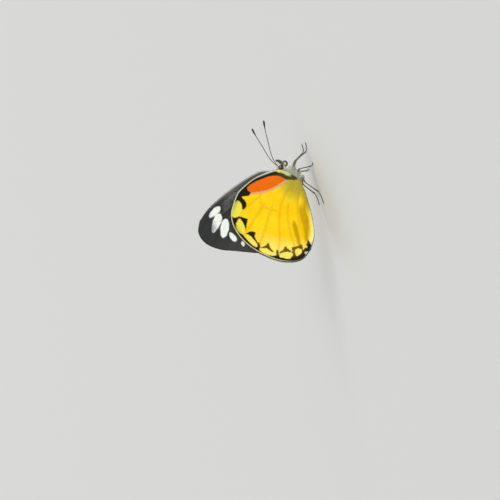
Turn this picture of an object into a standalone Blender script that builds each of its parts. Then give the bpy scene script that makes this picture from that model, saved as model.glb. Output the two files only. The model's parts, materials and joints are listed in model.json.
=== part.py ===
"""A life-size red-spot jezebel butterfly, standing with its wings closed over its back.

It faces +X, its right side faces -Y, +Z is up and the floor is z = 0. Sizes are in millimetres and
become metres where a mesh is made. Points on the body and wings are measured from the middle of the
thorax: x forward, y to the left, z up.
"""

import math

import bmesh
import bpy
from mathutils import Matrix, Vector

MM = 0.001
GAP = 0.3  # kept between neighbouring pieces
RIGHT, LEFT = -1, 1

# Thorax: an egg tilted head up, with a collar behind the head and a hump between the wings.
STANDING_HEIGHT = 8.0  # middle of the thorax above the floor
THORAX_FORWARD = 3.8  # and ahead of the middle of the whole model, where the origin is
THORAX_PITCH = math.radians(33)
THORAX_RADII = (4.1, 2.2, 2.85)
COLLAR_RADII = (1.1, 1.25, 1.5)
COLLAR_FORWARD = 3.6
HUMP_RADII = (1.7, 1.0, 0.9)
HUMP_PLACE = (-1.0, 2.3)  # back and up along the thorax's own axes
COXA_RADII = (0.75, 0.62, 1.15)

# Head, pitched less than the thorax.
HEAD_CENTRE = (4.3, 0.0, 2.8)
HEAD_PITCH = math.radians(15)
HEAD_RADII = (1.35, 1.15, 1.4)
FACE_RADII = (0.8, 0.75, 0.95)
FACE_FORWARD = 0.75
EYE_RADIUS = 0.98
EYE_PLACE = (0.18, 1.0, 0.15)  # from the middle of the head: forward, out, up

# Abdomen: eight rings that narrow to the tail, level with the floor.
ABDOMEN_START = (-2.4, -1.75)
ABDOMEN_END = (-17.6, -0.85)
ABDOMEN_RADIUS = 1.5
ABDOMEN_RINGS = 8
RING_DEPTH = 0.09  # how far the joint between two rings sinks in

# Wings. A point is (reach from the hinge, bearing in degrees from straight back towards the head).
FOREWING_HINGE = (1.2, 0.2)
FOREWING_ROOT = ((1.4, 0.9), (-1.0, 1.0))
FOREWING_COSTA = (
    (3.6, 112), (9.8, 113), (13.2, 106.8), (19.0, 96.5), (25.7, 89), (32.6, 83.2), (37.8, 78.6),
)
FOREWING_TERMEN = (
    (37.8, 78.6), (40.3, 73.5), (40.4, 66.9), (38.0, 59.2), (34.4, 50.5), (31.7, 39.9), (30.6, 34.5),
)
FOREWING_DORSUM = ((8.0, 42), (19.0, 35.5), (30.6, 34.5))
HINDWING_HINGE = (-1.5, -1.9)
HINDWING_ROOT = ((1.2, 0.2), (-2.2, -2.4))
HINDWING_COSTA = ((5.8, 136.7), (8.3, 130.9), (10.9, 121.7), (16.3, 107.3), (21.8, 95.8), (24.0, 90.5))
HINDWING_TERMEN = (
    (24.0, 90.5), (28.1, 78.4), (30.0, 66.5), (30.6, 52), (30.7, 36), (30.6, 24), (29.4, 14.2), (26.2, 6.7),
)
HINDWING_INNER = ((6.7, -9.9), (14.3, -4.3), (21.2, 0.4), (26.2, 6.7))
FAR_WING_DROOP = math.radians(1.2)  # the left hindwing shows below the right one
MEMBRANE = 0.5
VEIN_THICKNESS = 0.7
VEIN_HALF_WIDTH = 0.35
NARROWEST_VEIN = 0.02  # near the hinge, as a share of the way across the wing
COLUMNS = 14

# Each vein: share of the way across the wing in the cell, the same at the margin, and where along it rises.
FOREWING_VEINS = (
    (0.07, 0.035, 0.10), (0.16, 0.10, 0.05), (0.25, 0.21, 0.55), (0.33, 0.34, 0.58), (0.42, 0.48, 0.58),
    (0.51, 0.63, 0.55), (0.60, 0.78, 0.05), (0.70, 0.90, 0.38), (0.86, 0.965, 0.05),
)
HINDWING_VEINS = (
    (0.06, 0.030, 0.10), (0.19, 0.075, 0.05), (0.26, 0.215, 0.52), (0.34, 0.365, 0.56), (0.42, 0.515, 0.52),
    (0.51, 0.683, 0.05), (0.61, 0.823, 0.38), (0.76, 0.926, 0.05), (0.88, 0.972, 0.05),
)
CELL_END = 0.5

# How far out from the midline each wing lies: at the shoulder, and beyond it.
FOREWING_OUT = (1.9, 0.5)
HINDWING_OUT = (3.0, 1.5)
SHOULDER_START, SHOULDER_END = 2.0, 15.0
HINGE_BOSS = (0.3, 2.5, 0.55)  # knob on the hindwing's root, from its hinge: forward, out, up
HINGE_BOSS_RADII = (1.1, 0.85, 0.8)
CRADLE_RADIUS = 2.6  # the hindwings bend round the abdomen
CRADLE_FADE = (-15.0, -25.0)

# Legs: trochanter, knee, ankle and toe of each, as (forward, out, up).
LEGS = {
    "front": ((3.0, 0.85, -1.3), (5.5, 2.8, -3.2), (7.4, 4.3, -7.25), (10.4, 5.0, -7.8)),
    "middle": ((1.3, 1.0, -2.9), (2.0, 4.1, -3.1), (1.6, 5.9, -7.25), (2.4, 8.2, -7.8)),
    "hind": ((-0.9, 0.95, -3.6), (-3.6, 4.0, -3.9), (-8.0, 5.3, -7.25), (-12.6, 5.9, -7.8)),
}
LEG_STEP = {"front": 0.6, "middle": -0.5, "hind": 0.5}  # the left foot stands this much further forward
FEMUR_RADIUS, TIBIA_RADIUS, TARSUS_RADIUS = 0.42, 0.28, 0.25
TARSUS_JOINTS = 5

# Feelers, palps and tongue.
ANTENNA_ROOT = (0.85, 0.5, 1.15)  # from the middle of the head: forward, out, up
ANTENNA_BENDS = {
    RIGHT: ((9.1, 1.5, 5.0), (14.8, 3.0, 5.1), (19.4, 4.2, 5.0), (22.6, 5.0, 4.7)),
    LEFT: ((9.0, 1.7, 5.6), (14.4, 3.5, 6.8), (18.8, 4.9, 7.8), (21.8, 5.8, 8.3)),
}
ANTENNA_RADIUS, CLUB_RADIUS, CLUB_SHARE = 0.25, 0.5, 0.2
PALP_BENDS = ((0.9, 0.9, -0.75), (2.0, 0.92, -0.55), (2.8, 0.9, 0.1), (3.3, 0.85, 0.95))
PALP_RADII = (0.34, 0.42, 0.36, 0.2)
TONGUE_RADIUS = 0.25
TONGUE_COIL = (1.15, 0.42)  # outer and inner radius of the coil
TONGUE_TURNS = 1.25
TONGUE_CENTRE = (1.35, -1.75)  # from the middle of the head: forward, up

COLOURS = {
    "thorax": (0.30, 0.31, 0.29), "head": (0.24, 0.24, 0.22), "abdomen": (0.62, 0.61, 0.53),
    "forewing": (0.035, 0.035, 0.04), "hindwing": (0.90, 0.62, 0.03), "leg": (0.16, 0.15, 0.13),
    "eye": (0.03, 0.02, 0.015), "antenna": (0.02, 0.02, 0.02), "palp": (0.55, 0.55, 0.50),
    "tongue": (0.07, 0.04, 0.02),
}


def clear_scene():
    for obj in list(bpy.data.objects):
        bpy.data.objects.remove(obj, do_unlink=True)


def collection_named(name):
    made = bpy.data.collections.new(name)
    bpy.context.scene.collection.children.link(made)
    return made


def material_for(kind):
    """One material for each kind of piece."""
    found = bpy.data.materials.get(kind)
    if found:
        return found
    made = bpy.data.materials.new(kind)
    made.use_nodes = True
    surface = made.node_tree.nodes["Principled BSDF"]
    surface.inputs["Base Color"].default_value = (*COLOURS[kind], 1)
    surface.inputs["Roughness"].default_value = 0.25 if kind == "eye" else 0.7
    surface.inputs["Metallic"].default_value = 0.0
    return made


def object_from(bm, name, collection):
    """Turns a bmesh into a linked object with its faces pointing out."""
    bmesh.ops.recalc_face_normals(bm, faces=bm.faces)
    mesh = bpy.data.meshes.new(name)
    bm.to_mesh(mesh)
    bm.free()
    obj = bpy.data.objects.new(name, mesh)
    collection.objects.link(obj)
    return obj


def evaluated_mesh(obj):
    bpy.context.view_layer.update()
    graph = bpy.context.evaluated_depsgraph_get()
    return bpy.data.meshes.new_from_object(obj.evaluated_get(graph), depsgraph=graph)


def from_thorax(x, y, z):
    """A point measured from the middle of the thorax, as a place in the scene."""
    return Vector((x + THORAX_FORWARD, y, z + STANDING_HEIGHT)) * MM


def smoothstep(t):
    t = min(max(t, 0.0), 1.0)
    return t * t * (3 - 2 * t)


def ellipsoid(name, centre, radii, pitch, collection, grow=0.0, segments=16, rings=10):
    """An egg of the given radii, nose up by pitch. Grow swells it on every side."""
    bm = bmesh.new()
    bmesh.ops.create_uvsphere(bm, u_segments=segments, v_segments=rings, radius=1)
    place = (
        Matrix.Translation(from_thorax(*centre))
        @ Matrix.Rotation(-pitch, 4, "Y")
        @ Matrix.Diagonal([(r + grow) * MM for r in radii] + [1])
        @ Matrix.Rotation(math.pi / 2, 4, "Y")
    )
    bmesh.ops.transform(bm, matrix=place, verts=bm.verts)
    return object_from(bm, name, collection)


def tube(name, points, radii, collection, resolution=2):
    """A tube through the points, whose radius changes from point to point."""
    curve = bpy.data.curves.new(name, "CURVE")
    curve.dimensions = "3D"
    curve.bevel_depth = MM
    curve.bevel_resolution = resolution
    curve.use_fill_caps = True
    spline = curve.splines.new("POLY")
    spline.points.add(len(points) - 1)
    for knot, point, radius in zip(spline.points, points, radii):
        knot.co = (*from_thorax(*point), 1)
        knot.radius = radius
    guide = bpy.data.objects.new(name + "_guide", curve)
    collection.objects.link(guide)
    bm = bmesh.new()
    bm.from_mesh(evaluated_mesh(guide))
    bpy.data.objects.remove(guide)
    bmesh.ops.remove_doubles(bm, verts=bm.verts, dist=1e-6)
    return object_from(bm, name, collection)


def keep_largest(mesh):
    """Drops every closed surface of a mesh but the one that holds the most."""
    bm = bmesh.new()
    bm.from_mesh(mesh)
    left, shells = set(bm.verts), []
    while left:
        shell, edge = set(), {next(iter(left))}
        while edge:
            shell |= edge
            edge = {e.other_vert(v) for v in edge for e in v.link_edges} - shell
        shells.append(shell)
        left -= shell

    def size(shell):
        lows = [min(v.co[k] for v in shell) for k in range(3)]
        highs = [max(v.co[k] for v in shell) for k in range(3)]
        return math.prod(high - low for low, high in zip(lows, highs))

    largest = max(shells, key=size)
    bmesh.ops.delete(bm, geom=[v for v in bm.verts if v not in largest], context="VERTS")
    bm.to_mesh(mesh)
    bm.free()


def combine(obj, others, operation):
    """Joins the others to an object or cuts them from it, then removes them."""
    tools = collection_named("tools")
    for other in others:
        for holder in list(other.users_collection):
            holder.objects.unlink(other)
        tools.objects.link(other)
        other.hide_render = True
        other.display_type = "WIRE"
    boolean = obj.modifiers.new(operation, "BOOLEAN")
    boolean.operation = operation
    boolean.operand_type = "COLLECTION"
    boolean.collection = tools
    boolean.solver = "EXACT"
    result = evaluated_mesh(obj)
    obj.modifiers.clear()
    keep_largest(result)
    obj.data = result
    for other in others:
        bpy.data.objects.remove(other, do_unlink=True)
    bpy.data.collections.remove(tools)
    return obj


def finished(obj, name, kind):
    """Names a node, gives it its material and shades it smooth."""
    obj.name = name
    obj.data.name = name
    obj.data.materials.clear()
    obj.data.materials.append(material_for(kind))
    obj.data.shade_smooth()
    obj.data.set_sharp_from_angle(angle=math.radians(40))
    return obj


def along_thorax(forward, up, out=0.0):
    """A point given along the tilted axes of the thorax."""
    cos, sin = math.cos(THORAX_PITCH), math.sin(THORAX_PITCH)
    return (forward * cos - up * sin, out, forward * sin + up * cos)


def thorax_pieces(collection, grow=0.0):
    """The egg, collar, hump and six leg sockets of the thorax, swollen by grow when used to cut."""
    pieces = [
        ellipsoid("core", (0, 0, 0), THORAX_RADII, THORAX_PITCH, collection, grow, 20, 14),
        ellipsoid("collar", along_thorax(COLLAR_FORWARD, 0.1), COLLAR_RADII, THORAX_PITCH, collection, grow),
        ellipsoid("hump", along_thorax(*HUMP_PLACE), HUMP_RADII, THORAX_PITCH, collection, grow, 12, 8),
    ]
    for name, (root, knee, *_) in LEGS.items():
        for side in (RIGHT, LEFT):
            centre = (root[0], side * root[1] * 0.85, root[2] + 0.75)
            pieces.append(ellipsoid("coxa_" + name, centre, COXA_RADII, 0, collection, grow, 10, 8))
    return pieces


def head_pieces(collection, grow=0.0):
    x, _, z = HEAD_CENTRE
    cos, sin = math.cos(HEAD_PITCH), math.sin(HEAD_PITCH)
    face = (x + FACE_FORWARD * cos, 0, z + FACE_FORWARD * sin - 0.35)
    return [
        ellipsoid("skull", HEAD_CENTRE, HEAD_RADII, HEAD_PITCH, collection, grow, 16, 12),
        ellipsoid("face", face, FACE_RADII, HEAD_PITCH, collection, grow, 12, 8),
    ]


def add_body(collection):
    core, *rest = thorax_pieces(collection)
    finished(combine(core, rest, "UNION"), "thorax", "thorax")
    skull, *rest = head_pieces(collection)
    combine(skull, rest, "UNION")
    combine(skull, thorax_pieces(collection, GAP), "DIFFERENCE")
    finished(skull, "head", "head")


def ring_radius(share):
    """The abdomen's radius at a share of its length: a soft spindle, pinched at each ring."""
    spindle = math.sin(math.pi * min(0.16 + 0.66 * share, 1.0)) ** 0.55
    tail = 1 - smoothstep((share - 0.84) / 0.16) * 0.62
    within = (share * ABDOMEN_RINGS) % 1.0
    pinch = RING_DEPTH if within < 0.01 or within > 0.99 else 0.0
    return ABDOMEN_RADIUS * spindle * tail - pinch


def add_abdomen(collection):
    shares = []
    for ring in range(ABDOMEN_RINGS):
        shares += [(ring + part) / ABDOMEN_RINGS for part in (0, 0.14, 0.8)]
    shares.append(1.0)
    (x0, z0), (x1, z1) = ABDOMEN_START, ABDOMEN_END
    points = [(x0 + (x1 - x0) * s, 0, z0 + (z1 - z0) * s) for s in shares]
    abdomen = tube("abdomen", points, [ring_radius(s) for s in shares], collection, 4)
    combine(abdomen, thorax_pieces(collection, GAP), "DIFFERENCE")
    finished(abdomen, "abdomen", "abdomen")


def catmull_rom(points, steps=10):
    """A dense smooth line through a few points."""
    padded = [2 * points[0] - points[1], *points, 2 * points[-1] - points[-2]]
    dense = []
    for a, b, c, d in zip(padded, padded[1:], padded[2:], padded[3:]):
        for step in range(steps):
            t = step / steps
            bend = (2 * a - 5 * b + 4 * c - d) * t * t + (3 * b - a - 3 * c + d) * t**3
            dense.append(0.5 * (2 * b + (c - a) * t + bend))
    return dense + [points[-1]]


def place_on(line, share):
    """The point at a share of a dense line's length."""
    lengths = [(b - a).length for a, b in zip(line, line[1:])]
    left = share * sum(lengths)
    for a, b, length in zip(line, line[1:], lengths):
        if left <= length:
            return a.lerp(b, left / length)
        left -= length
    return line[-1]


class Wing:
    """A wing's four edges, and the surface that they bound."""

    def __init__(self, hinge, root, costa, termen, inner, droop=0.0):
        self.hinge, self.droop = Vector(hinge), droop
        self.root = [Vector(p) for p in root]
        self.costa = catmull_rom([self.root[0], *map(self.polar, costa)])
        self.termen = catmull_rom([self.polar(p) for p in termen])
        self.inner = catmull_rom([self.root[1], *map(self.polar, inner)])

    def polar(self, place):
        reach, bearing = place[0], math.radians(place[1])
        return self.hinge + Vector((-math.cos(bearing), math.sin(bearing))) * reach

    def point(self, along, across):
        """The (x, z) place at a share of the way out and of the way from front to back edge."""
        front, back = place_on(self.costa, along), place_on(self.inner, along)
        near, far = self.root[0].lerp(self.root[1], across), place_on(self.termen, across)
        corners = (
            self.root[0] * (1 - along) * (1 - across) + self.root[1] * (1 - along) * across
            + self.costa[-1] * along * (1 - across) + self.inner[-1] * along * across
        )
        spot = front * (1 - across) + back * across + near * (1 - along) + far * along - corners
        swing = Matrix.Rotation(self.droop, 2) @ (spot - self.hinge)
        return self.hinge + swing


def vein_half_width(wing, along):
    """Half a vein's width as a share of the way across the wing."""
    span = (wing.point(along, 1) - wing.point(along, 0)).length
    return min(VEIN_HALF_WIDTH / span, NARROWEST_VEIN)


def vein_across(vein, along):
    """Where a vein lies across the wing: steady along the cell, then fanning to the margin."""
    in_cell, at_margin, _ = vein
    return in_cell + (at_margin - in_cell) * smoothstep((along - CELL_END * 0.6) / (1 - CELL_END * 0.6))


def shoulder(x, z):
    return 1 - smoothstep((math.hypot(x, z) - SHOULDER_START) / (SHOULDER_END - SHOULDER_START))


def forewing_out(x, z):
    near, far = FOREWING_OUT
    return far + (near - far) * shoulder(x, z)


def hindwing_out(x, z):
    """The hindwing swells out beside the abdomen and curls in below it."""
    near, far = HINDWING_OUT
    flat = far + (near - far) * shoulder(x, z)
    (x0, z0), (x1, z1) = ABDOMEN_START, ABDOMEN_END
    above = z - (z0 + (z1 - z0) * (x - x0) / (x1 - x0))
    fade = 1 - smoothstep((x - CRADLE_FADE[0]) / (CRADLE_FADE[1] - CRADLE_FADE[0]))
    beside = math.sqrt(max(CRADLE_RADIUS**2 - above**2, 0.0))
    if above < 0:
        return flat + (max(CRADLE_RADIUS - flat, 0) + beside - CRADLE_RADIUS) * fade
    return flat + max(beside - flat, 0) * fade


def wing_rows(veins):
    """Rows across the wing: both edges, three for each vein and one in each space between veins."""
    rows = [(None, 0.0)]
    for number, vein in enumerate(veins):
        if number:
            rows.append(((veins[number - 1], vein), 0.0))
        rows += [(vein, -1.0), (vein, 0.0), (vein, 1.0)]
    return rows + [(None, 1.0)]


def wing_sheet(name, wing, veins, out, side, collection):
    """An open sheet split into triangles, thickened by Solidify and thickest along the veins."""
    rows = wing_rows(veins)
    bm = bmesh.new()
    bmesh.ops.create_grid(bm, x_segments=COLUMNS, y_segments=len(rows) - 1, size=0.5)
    raised = {}
    for vert in bm.verts:
        along = round((vert.co.x + 0.5) * COLUMNS) / COLUMNS
        vein, offset = rows[round((vert.co.y + 0.5) * (len(rows) - 1))]
        on_vein = False
        if vein is None:
            across, on_vein = offset, offset == 0.0
        elif isinstance(vein[0], tuple):
            across = sum(vein_across(v, along) for v in vein) / 2
        else:
            across = vein_across(vein, along) + offset * vein_half_width(wing, along)
            on_vein = offset == 0.0 and along >= vein[2]
        x, z = wing.point(along, across)
        vert.co = from_thorax(x, side * out(x, z), z)
        raised[vert.index] = on_vein
    bmesh.ops.triangulate(bm, faces=bm.faces, quad_method="FIXED")
    sheet = object_from(bm, name, collection)
    group = sheet.vertex_groups.new(name="veins")
    group.add([index for index, is_raised in raised.items() if is_raised], 1.0, "REPLACE")
    solid = sheet.modifiers.new("thickness", "SOLIDIFY")
    solid.thickness = VEIN_THICKNESS * MM
    solid.offset = 0
    solid.vertex_group = "veins"
    solid.thickness_vertex_group = MEMBRANE / VEIN_THICKNESS
    sheet.data = evaluated_mesh(sheet)
    sheet.modifiers.clear()
    return sheet


def add_wings(collection):
    for side, side_name in ((RIGHT, "right"), (LEFT, "left")):
        fore = Wing(FOREWING_HINGE, FOREWING_ROOT, FOREWING_COSTA, FOREWING_TERMEN, FOREWING_DORSUM)
        sheet = wing_sheet("forewing", fore, FOREWING_VEINS, forewing_out, side, collection)
        combine(sheet, thorax_pieces(collection, GAP) + head_pieces(collection, GAP), "DIFFERENCE")
        finished(sheet, "forewing_" + side_name, "forewing")
        droop = FAR_WING_DROOP if side == LEFT else 0.0
        hind = Wing(
            HINDWING_HINGE, HINDWING_ROOT, HINDWING_COSTA, HINDWING_TERMEN, HINDWING_INNER, droop,
        )
        sheet = wing_sheet("hindwing", hind, HINDWING_VEINS, hindwing_out, side, collection)
        forward, outward, up = HINGE_BOSS
        boss_place = (HINDWING_HINGE[0] + forward, side * outward, HINDWING_HINGE[1] + up)
        boss = ellipsoid("boss", boss_place, HINGE_BOSS_RADII, THORAX_PITCH, collection, 0, 12, 8)
        combine(sheet, [boss], "UNION")
        combine(sheet, thorax_pieces(collection, GAP), "DIFFERENCE")
        finished(sheet, "hindwing_" + side_name, "hindwing")


def leg_line(root, knee, ankle, toe):
    """Points and radii down a leg: a stout femur, a slim tibia and a ringed tarsus flat on the floor."""
    root, knee, ankle, toe = map(Vector, (root, knee, ankle, toe))
    line = [
        (root - (knee - root) * 0.12, 0.30), (root.lerp(knee, 0.2), 0.38), (root.lerp(knee, 0.5), FEMUR_RADIUS),
        (root.lerp(knee, 0.85), 0.34), (knee, 0.27), (knee.lerp(ankle, 0.12), TIBIA_RADIUS),
        (knee.lerp(ankle, 0.6), TIBIA_RADIUS), (knee.lerp(ankle, 0.93), 0.31),
    ]
    for joint in range(TARSUS_JOINTS + 1):
        share = joint / TARSUS_JOINTS
        spot = ankle.lerp(toe, share)
        spot.z = toe.z + (ankle.z - toe.z) * (1 - share) ** 3
        line.append((spot, TARSUS_RADIUS - 0.03 * (joint % 2)))
    return [tuple(p) for p, _ in line], [r for _, r in line]


def add_legs(collection):
    for name, joints in LEGS.items():
        for side, side_name in ((RIGHT, "right"), (LEFT, "left")):
            root, knee, ankle, toe = ((x, side * y, z) for x, y, z in joints)
            if side == LEFT:
                step = LEG_STEP[name]
                knee, ankle, toe = ((x + step * w, y, z) for (x, y, z), w in zip((knee, ankle, toe), (0.4, 0.8, 1)))
            points, radii = leg_line(root, knee, ankle, toe)
            leg = tube("leg", points, radii, collection)
            for vert in leg.data.vertices:
                vert.co.z = max(vert.co.z, 0.0)
            combine(leg, thorax_pieces(collection, GAP), "DIFFERENCE")
            finished(leg, f"leg_{name}_{side_name}", "leg")


def eye_piece(side, collection, grow=0.0):
    x, y, z = EYE_PLACE
    centre = Vector(HEAD_CENTRE) + Vector((x, side * y, z))
    return ellipsoid("eye", centre, [EYE_RADIUS] * 3, 0, collection, grow, 14, 10)


def add_head_parts(collection):
    head = Vector(HEAD_CENTRE)
    for side, side_name in ((RIGHT, "right"), (LEFT, "left")):
        eye = eye_piece(side, collection)
        combine(eye, head_pieces(collection, GAP) + thorax_pieces(collection, GAP), "DIFFERENCE")
        finished(eye, "eye_" + side_name, "eye")

        x, y, z = ANTENNA_ROOT
        bends = [head + Vector((x, side * y, z))] + [Vector((a, side * b, c)) for a, b, c in ANTENNA_BENDS[side]]
        line = catmull_rom(bends, 4)
        radii = []
        for number in range(len(line)):
            to_tip = 1 - number / (len(line) - 1)
            swell = smoothstep(1 - to_tip / CLUB_SHARE) * (1 - 0.45 * smoothstep(1 - to_tip / 0.05))
            radii.append(ANTENNA_RADIUS + (CLUB_RADIUS - ANTENNA_RADIUS) * swell)
        antenna = tube("antenna", [tuple(p) for p in line], radii, collection, 1)
        combine(antenna, head_pieces(collection, GAP), "DIFFERENCE")
        finished(antenna, "antenna_" + side_name, "antenna")

        line = catmull_rom([head + Vector((a, side * b, c)) for a, b, c in PALP_BENDS], 3)
        radii = [PALP_RADII[min(i // 3, 3)] for i in range(len(line))]
        palp = tube("palp", [tuple(p) for p in line], radii, collection)
        combine(palp, head_pieces(collection, GAP) + [eye_piece(side, collection, GAP)], "DIFFERENCE")
        finished(palp, "palp_" + side_name, "palp")


def add_tongue(collection):
    """The proboscis, coiled like a watch spring under the face."""
    outer, inner = TONGUE_COIL
    cx, cz = HEAD_CENTRE[0] + TONGUE_CENTRE[0], HEAD_CENTRE[2] + TONGUE_CENTRE[1]
    steps = 22
    points = []
    for step in range(steps + 1):
        share = step / steps
        angle = math.radians(125) + share * TONGUE_TURNS * 2 * math.pi
        radius = outer + (inner - outer) * share
        points.append((cx + radius * math.cos(angle), 0, cz + radius * math.sin(angle)))
    tongue = tube("tongue", points, [TONGUE_RADIUS] * len(points), collection, 1)
    combine(tongue, head_pieces(collection, GAP), "DIFFERENCE")
    finished(tongue, "proboscis", "tongue")


def main():
    clear_scene()
    butterfly = collection_named("red_spot_jezebel")
    add_body(butterfly)
    add_abdomen(butterfly)
    add_wings(butterfly)
    add_legs(butterfly)
    add_head_parts(butterfly)
    add_tongue(butterfly)


main()
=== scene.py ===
# %% [markdown]
# A red-spot jezebel, life size, standing on six feet with its wings closed over its back. The packed
# model gives every part its place, and this lesson dresses those parts: thin patterned wings with
# raised veins and a fringe, a hairy body, faceted eyes, ringed feelers and spined legs.

# %% Load the frame
import json
import math

import bmesh
import bpy
import numpy as np
from mathutils import Matrix, Vector

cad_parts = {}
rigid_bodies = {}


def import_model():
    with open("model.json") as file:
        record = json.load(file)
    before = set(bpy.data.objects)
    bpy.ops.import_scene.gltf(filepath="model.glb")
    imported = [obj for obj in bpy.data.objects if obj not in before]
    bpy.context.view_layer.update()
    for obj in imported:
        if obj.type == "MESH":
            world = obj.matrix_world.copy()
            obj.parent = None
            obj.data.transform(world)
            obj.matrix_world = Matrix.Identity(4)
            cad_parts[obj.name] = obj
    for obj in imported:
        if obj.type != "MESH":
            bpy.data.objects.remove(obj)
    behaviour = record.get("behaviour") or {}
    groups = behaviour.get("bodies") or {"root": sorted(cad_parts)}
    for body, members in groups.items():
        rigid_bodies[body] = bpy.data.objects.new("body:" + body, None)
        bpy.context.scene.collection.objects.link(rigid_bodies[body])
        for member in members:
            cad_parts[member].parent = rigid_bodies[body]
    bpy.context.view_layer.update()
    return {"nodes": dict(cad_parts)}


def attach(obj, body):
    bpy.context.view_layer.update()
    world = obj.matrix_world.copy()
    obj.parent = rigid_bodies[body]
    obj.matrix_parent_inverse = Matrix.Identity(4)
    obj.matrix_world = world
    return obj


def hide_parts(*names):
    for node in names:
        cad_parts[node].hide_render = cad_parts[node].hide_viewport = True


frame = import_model()
print("nodes:", ", ".join(sorted(frame["nodes"])))

# %% [markdown]
# All sizes below are in millimetres, measured from the middle of the thorax: x towards the head, y to
# the animal's left, z up. One function turns such points into the scene's metres.

# %% Sizes and places
MM = 0.001
RIGHT, LEFT = -1, 1
THORAX_PLACE = np.array((3.8, 0.0, 8.0))  # from the origin, which is on the floor


def metres(points):
    """Points measured from the middle of the thorax, as places in the scene."""
    return (np.asarray(points, float) + THORAX_PLACE) * MM


def smooth(t):
    """A soft step: 0 up to t = 0, 1 from t = 1 on."""
    t = np.clip(t, 0, 1)
    return t * t * (3 - 2 * t)


print("middle of the thorax in the scene:", metres((0, 0, 0)))

# %% [markdown]
# The photograph looks straight at the animal's right side while it climbs, so up in the picture is
# forwards here. The camera therefore lies on its side. It looks slightly down, which keeps it above
# the floor and the floor's far edge out of sight.

# %% Camera
FRAME_WIDTH = 183.5  # how much of the scene the picture spans
CAMERA_DISTANCE = 1200.0
CAMERA_ROLL = math.radians(-106)
CAMERA_DOWN, CAMERA_ROUND = math.radians(6.8), math.radians(3)
SENSOR = 36.0
FLOOR_RADIUS = 6.0  # metres
PICTURE_CENTRE = (-21.5, 0.0, 22.4)  # the point that the picture's middle shows


def add_camera():
    data = bpy.data.cameras.new("camera")
    data.sensor_width = SENSOR
    data.lens = SENSOR * CAMERA_DISTANCE / FRAME_WIDTH
    data.clip_start, data.clip_end = 0.05, 3 * FLOOR_RADIUS
    camera = bpy.data.objects.new("camera", data)
    bpy.context.scene.collection.objects.link(camera)
    look = Matrix.Rotation(-CAMERA_ROUND, 4, "Z") @ Matrix.Rotation(math.pi / 2 - CAMERA_DOWN, 4, "X")
    turn = look @ Matrix.Rotation(CAMERA_ROLL, 4, "Z")
    back = turn.to_3x3() @ Vector((0, 0, 1))
    place = Vector(metres(PICTURE_CENTRE)) + back * CAMERA_DISTANCE * MM
    camera.matrix_world = Matrix.Translation(place) @ turn
    bpy.context.scene.camera = camera
    return camera


camera = add_camera()
print("camera at", [round(v, 3) for v in camera.matrix_world.translation])

# %% [markdown]
# Suns with a wide angle act like large soft boxes, and they light every view of the model alike. The
# key stands low in front of the animal's right side, so it reaches the hair of the breast too. Its
# strength and that of the surroundings are balanced so that the floor melts into what lies beyond it.

# %% Lights and surroundings
SOFT_LIGHTS = {  # where it stands, strength, and how wide it is in degrees
    "key": ((1.3, -2.4, 0.75), 1.85, 36),
    "fill": ((0.4, 2.6, 1.8), 0.65, 50),
    "top": ((0.3, 0.0, 3.0), 0.5, 60),
}
SURROUNDINGS, SURROUNDINGS_STRENGTH = (0.82, 0.83, 0.825, 1), 0.79


def add_soft_light(name, towards, strength, spread):
    light = bpy.data.lights.new(name, "SUN")
    light.energy, light.angle = strength, math.radians(spread)
    lamp = bpy.data.objects.new(name, light)
    lamp.rotation_euler = Vector(towards).to_track_quat("Z", "Y").to_euler()
    bpy.context.scene.collection.objects.link(lamp)


for name, (towards, strength, spread) in SOFT_LIGHTS.items():
    add_soft_light(name, towards, strength, spread)
world = bpy.data.worlds.new("studio")
world.use_nodes = True
surroundings = world.node_tree.nodes["Background"]
surroundings.inputs["Color"].default_value = SURROUNDINGS
surroundings.inputs["Strength"].default_value = SURROUNDINGS_STRENGTH
bpy.context.scene.world = world
bpy.context.scene.view_settings.view_transform = "Standard"
print("lights:", ", ".join(sorted(lamp.name for lamp in bpy.data.lights)))

# %% [markdown]
# The floor is one plain round sheet, much wider than any view of the model, with a dull pale finish
# that takes a soft shadow.

# %% Floor
FLOOR_COLOUR, FLOOR_ROUGHNESS = (0.60, 0.60, 0.585, 1), 0.9


def add_floor():
    mesh = bpy.data.meshes.new("floor")
    bm = bmesh.new()
    bmesh.ops.create_circle(bm, cap_ends=True, segments=96, radius=FLOOR_RADIUS)
    bm.to_mesh(mesh)
    bm.free()
    floor = bpy.data.objects.new("floor", mesh)
    bpy.context.scene.collection.objects.link(floor)
    finish = bpy.data.materials.new("pale_floor")
    finish.use_nodes = True
    surface = finish.node_tree.nodes["Principled BSDF"]
    surface.inputs["Base Color"].default_value = FLOOR_COLOUR
    surface.inputs["Roughness"].default_value = FLOOR_ROUGHNESS
    mesh.materials.append(finish)
    return floor


floor = add_floor()
print("floor", round(floor.dimensions.x, 1), "m across")

# %% [markdown]
# Meshes here are made from arrays, and node trees from one small helper that adds a node, fills its
# sockets and links what is a socket already. The same helper serves materials and Geometry Nodes.

# %% Mesh and node helpers
def link_object(name, mesh):
    obj = bpy.data.objects.new(name, mesh)
    bpy.context.scene.collection.objects.link(obj)
    return obj


def mesh_from(name, verts, faces):
    """A smooth-shaded mesh from an array of places in metres and lists of corners."""
    mesh = bpy.data.meshes.new(name)
    mesh.from_pydata([tuple(v) for v in verts], [], [tuple(map(int, f)) for f in faces])
    mesh.shade_smooth()
    return mesh


def store(mesh, name, values):
    """Keeps one number, or one vector, for each vertex, for materials and node trees to read."""
    values = np.asarray(values, np.float32)
    kind, slot = ("FLOAT_VECTOR", "vector") if values.ndim == 2 else ("FLOAT", "value")
    layer = mesh.attributes.new(name, kind, "POINT")
    layer.data.foreach_set(slot, values.ravel())


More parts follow.
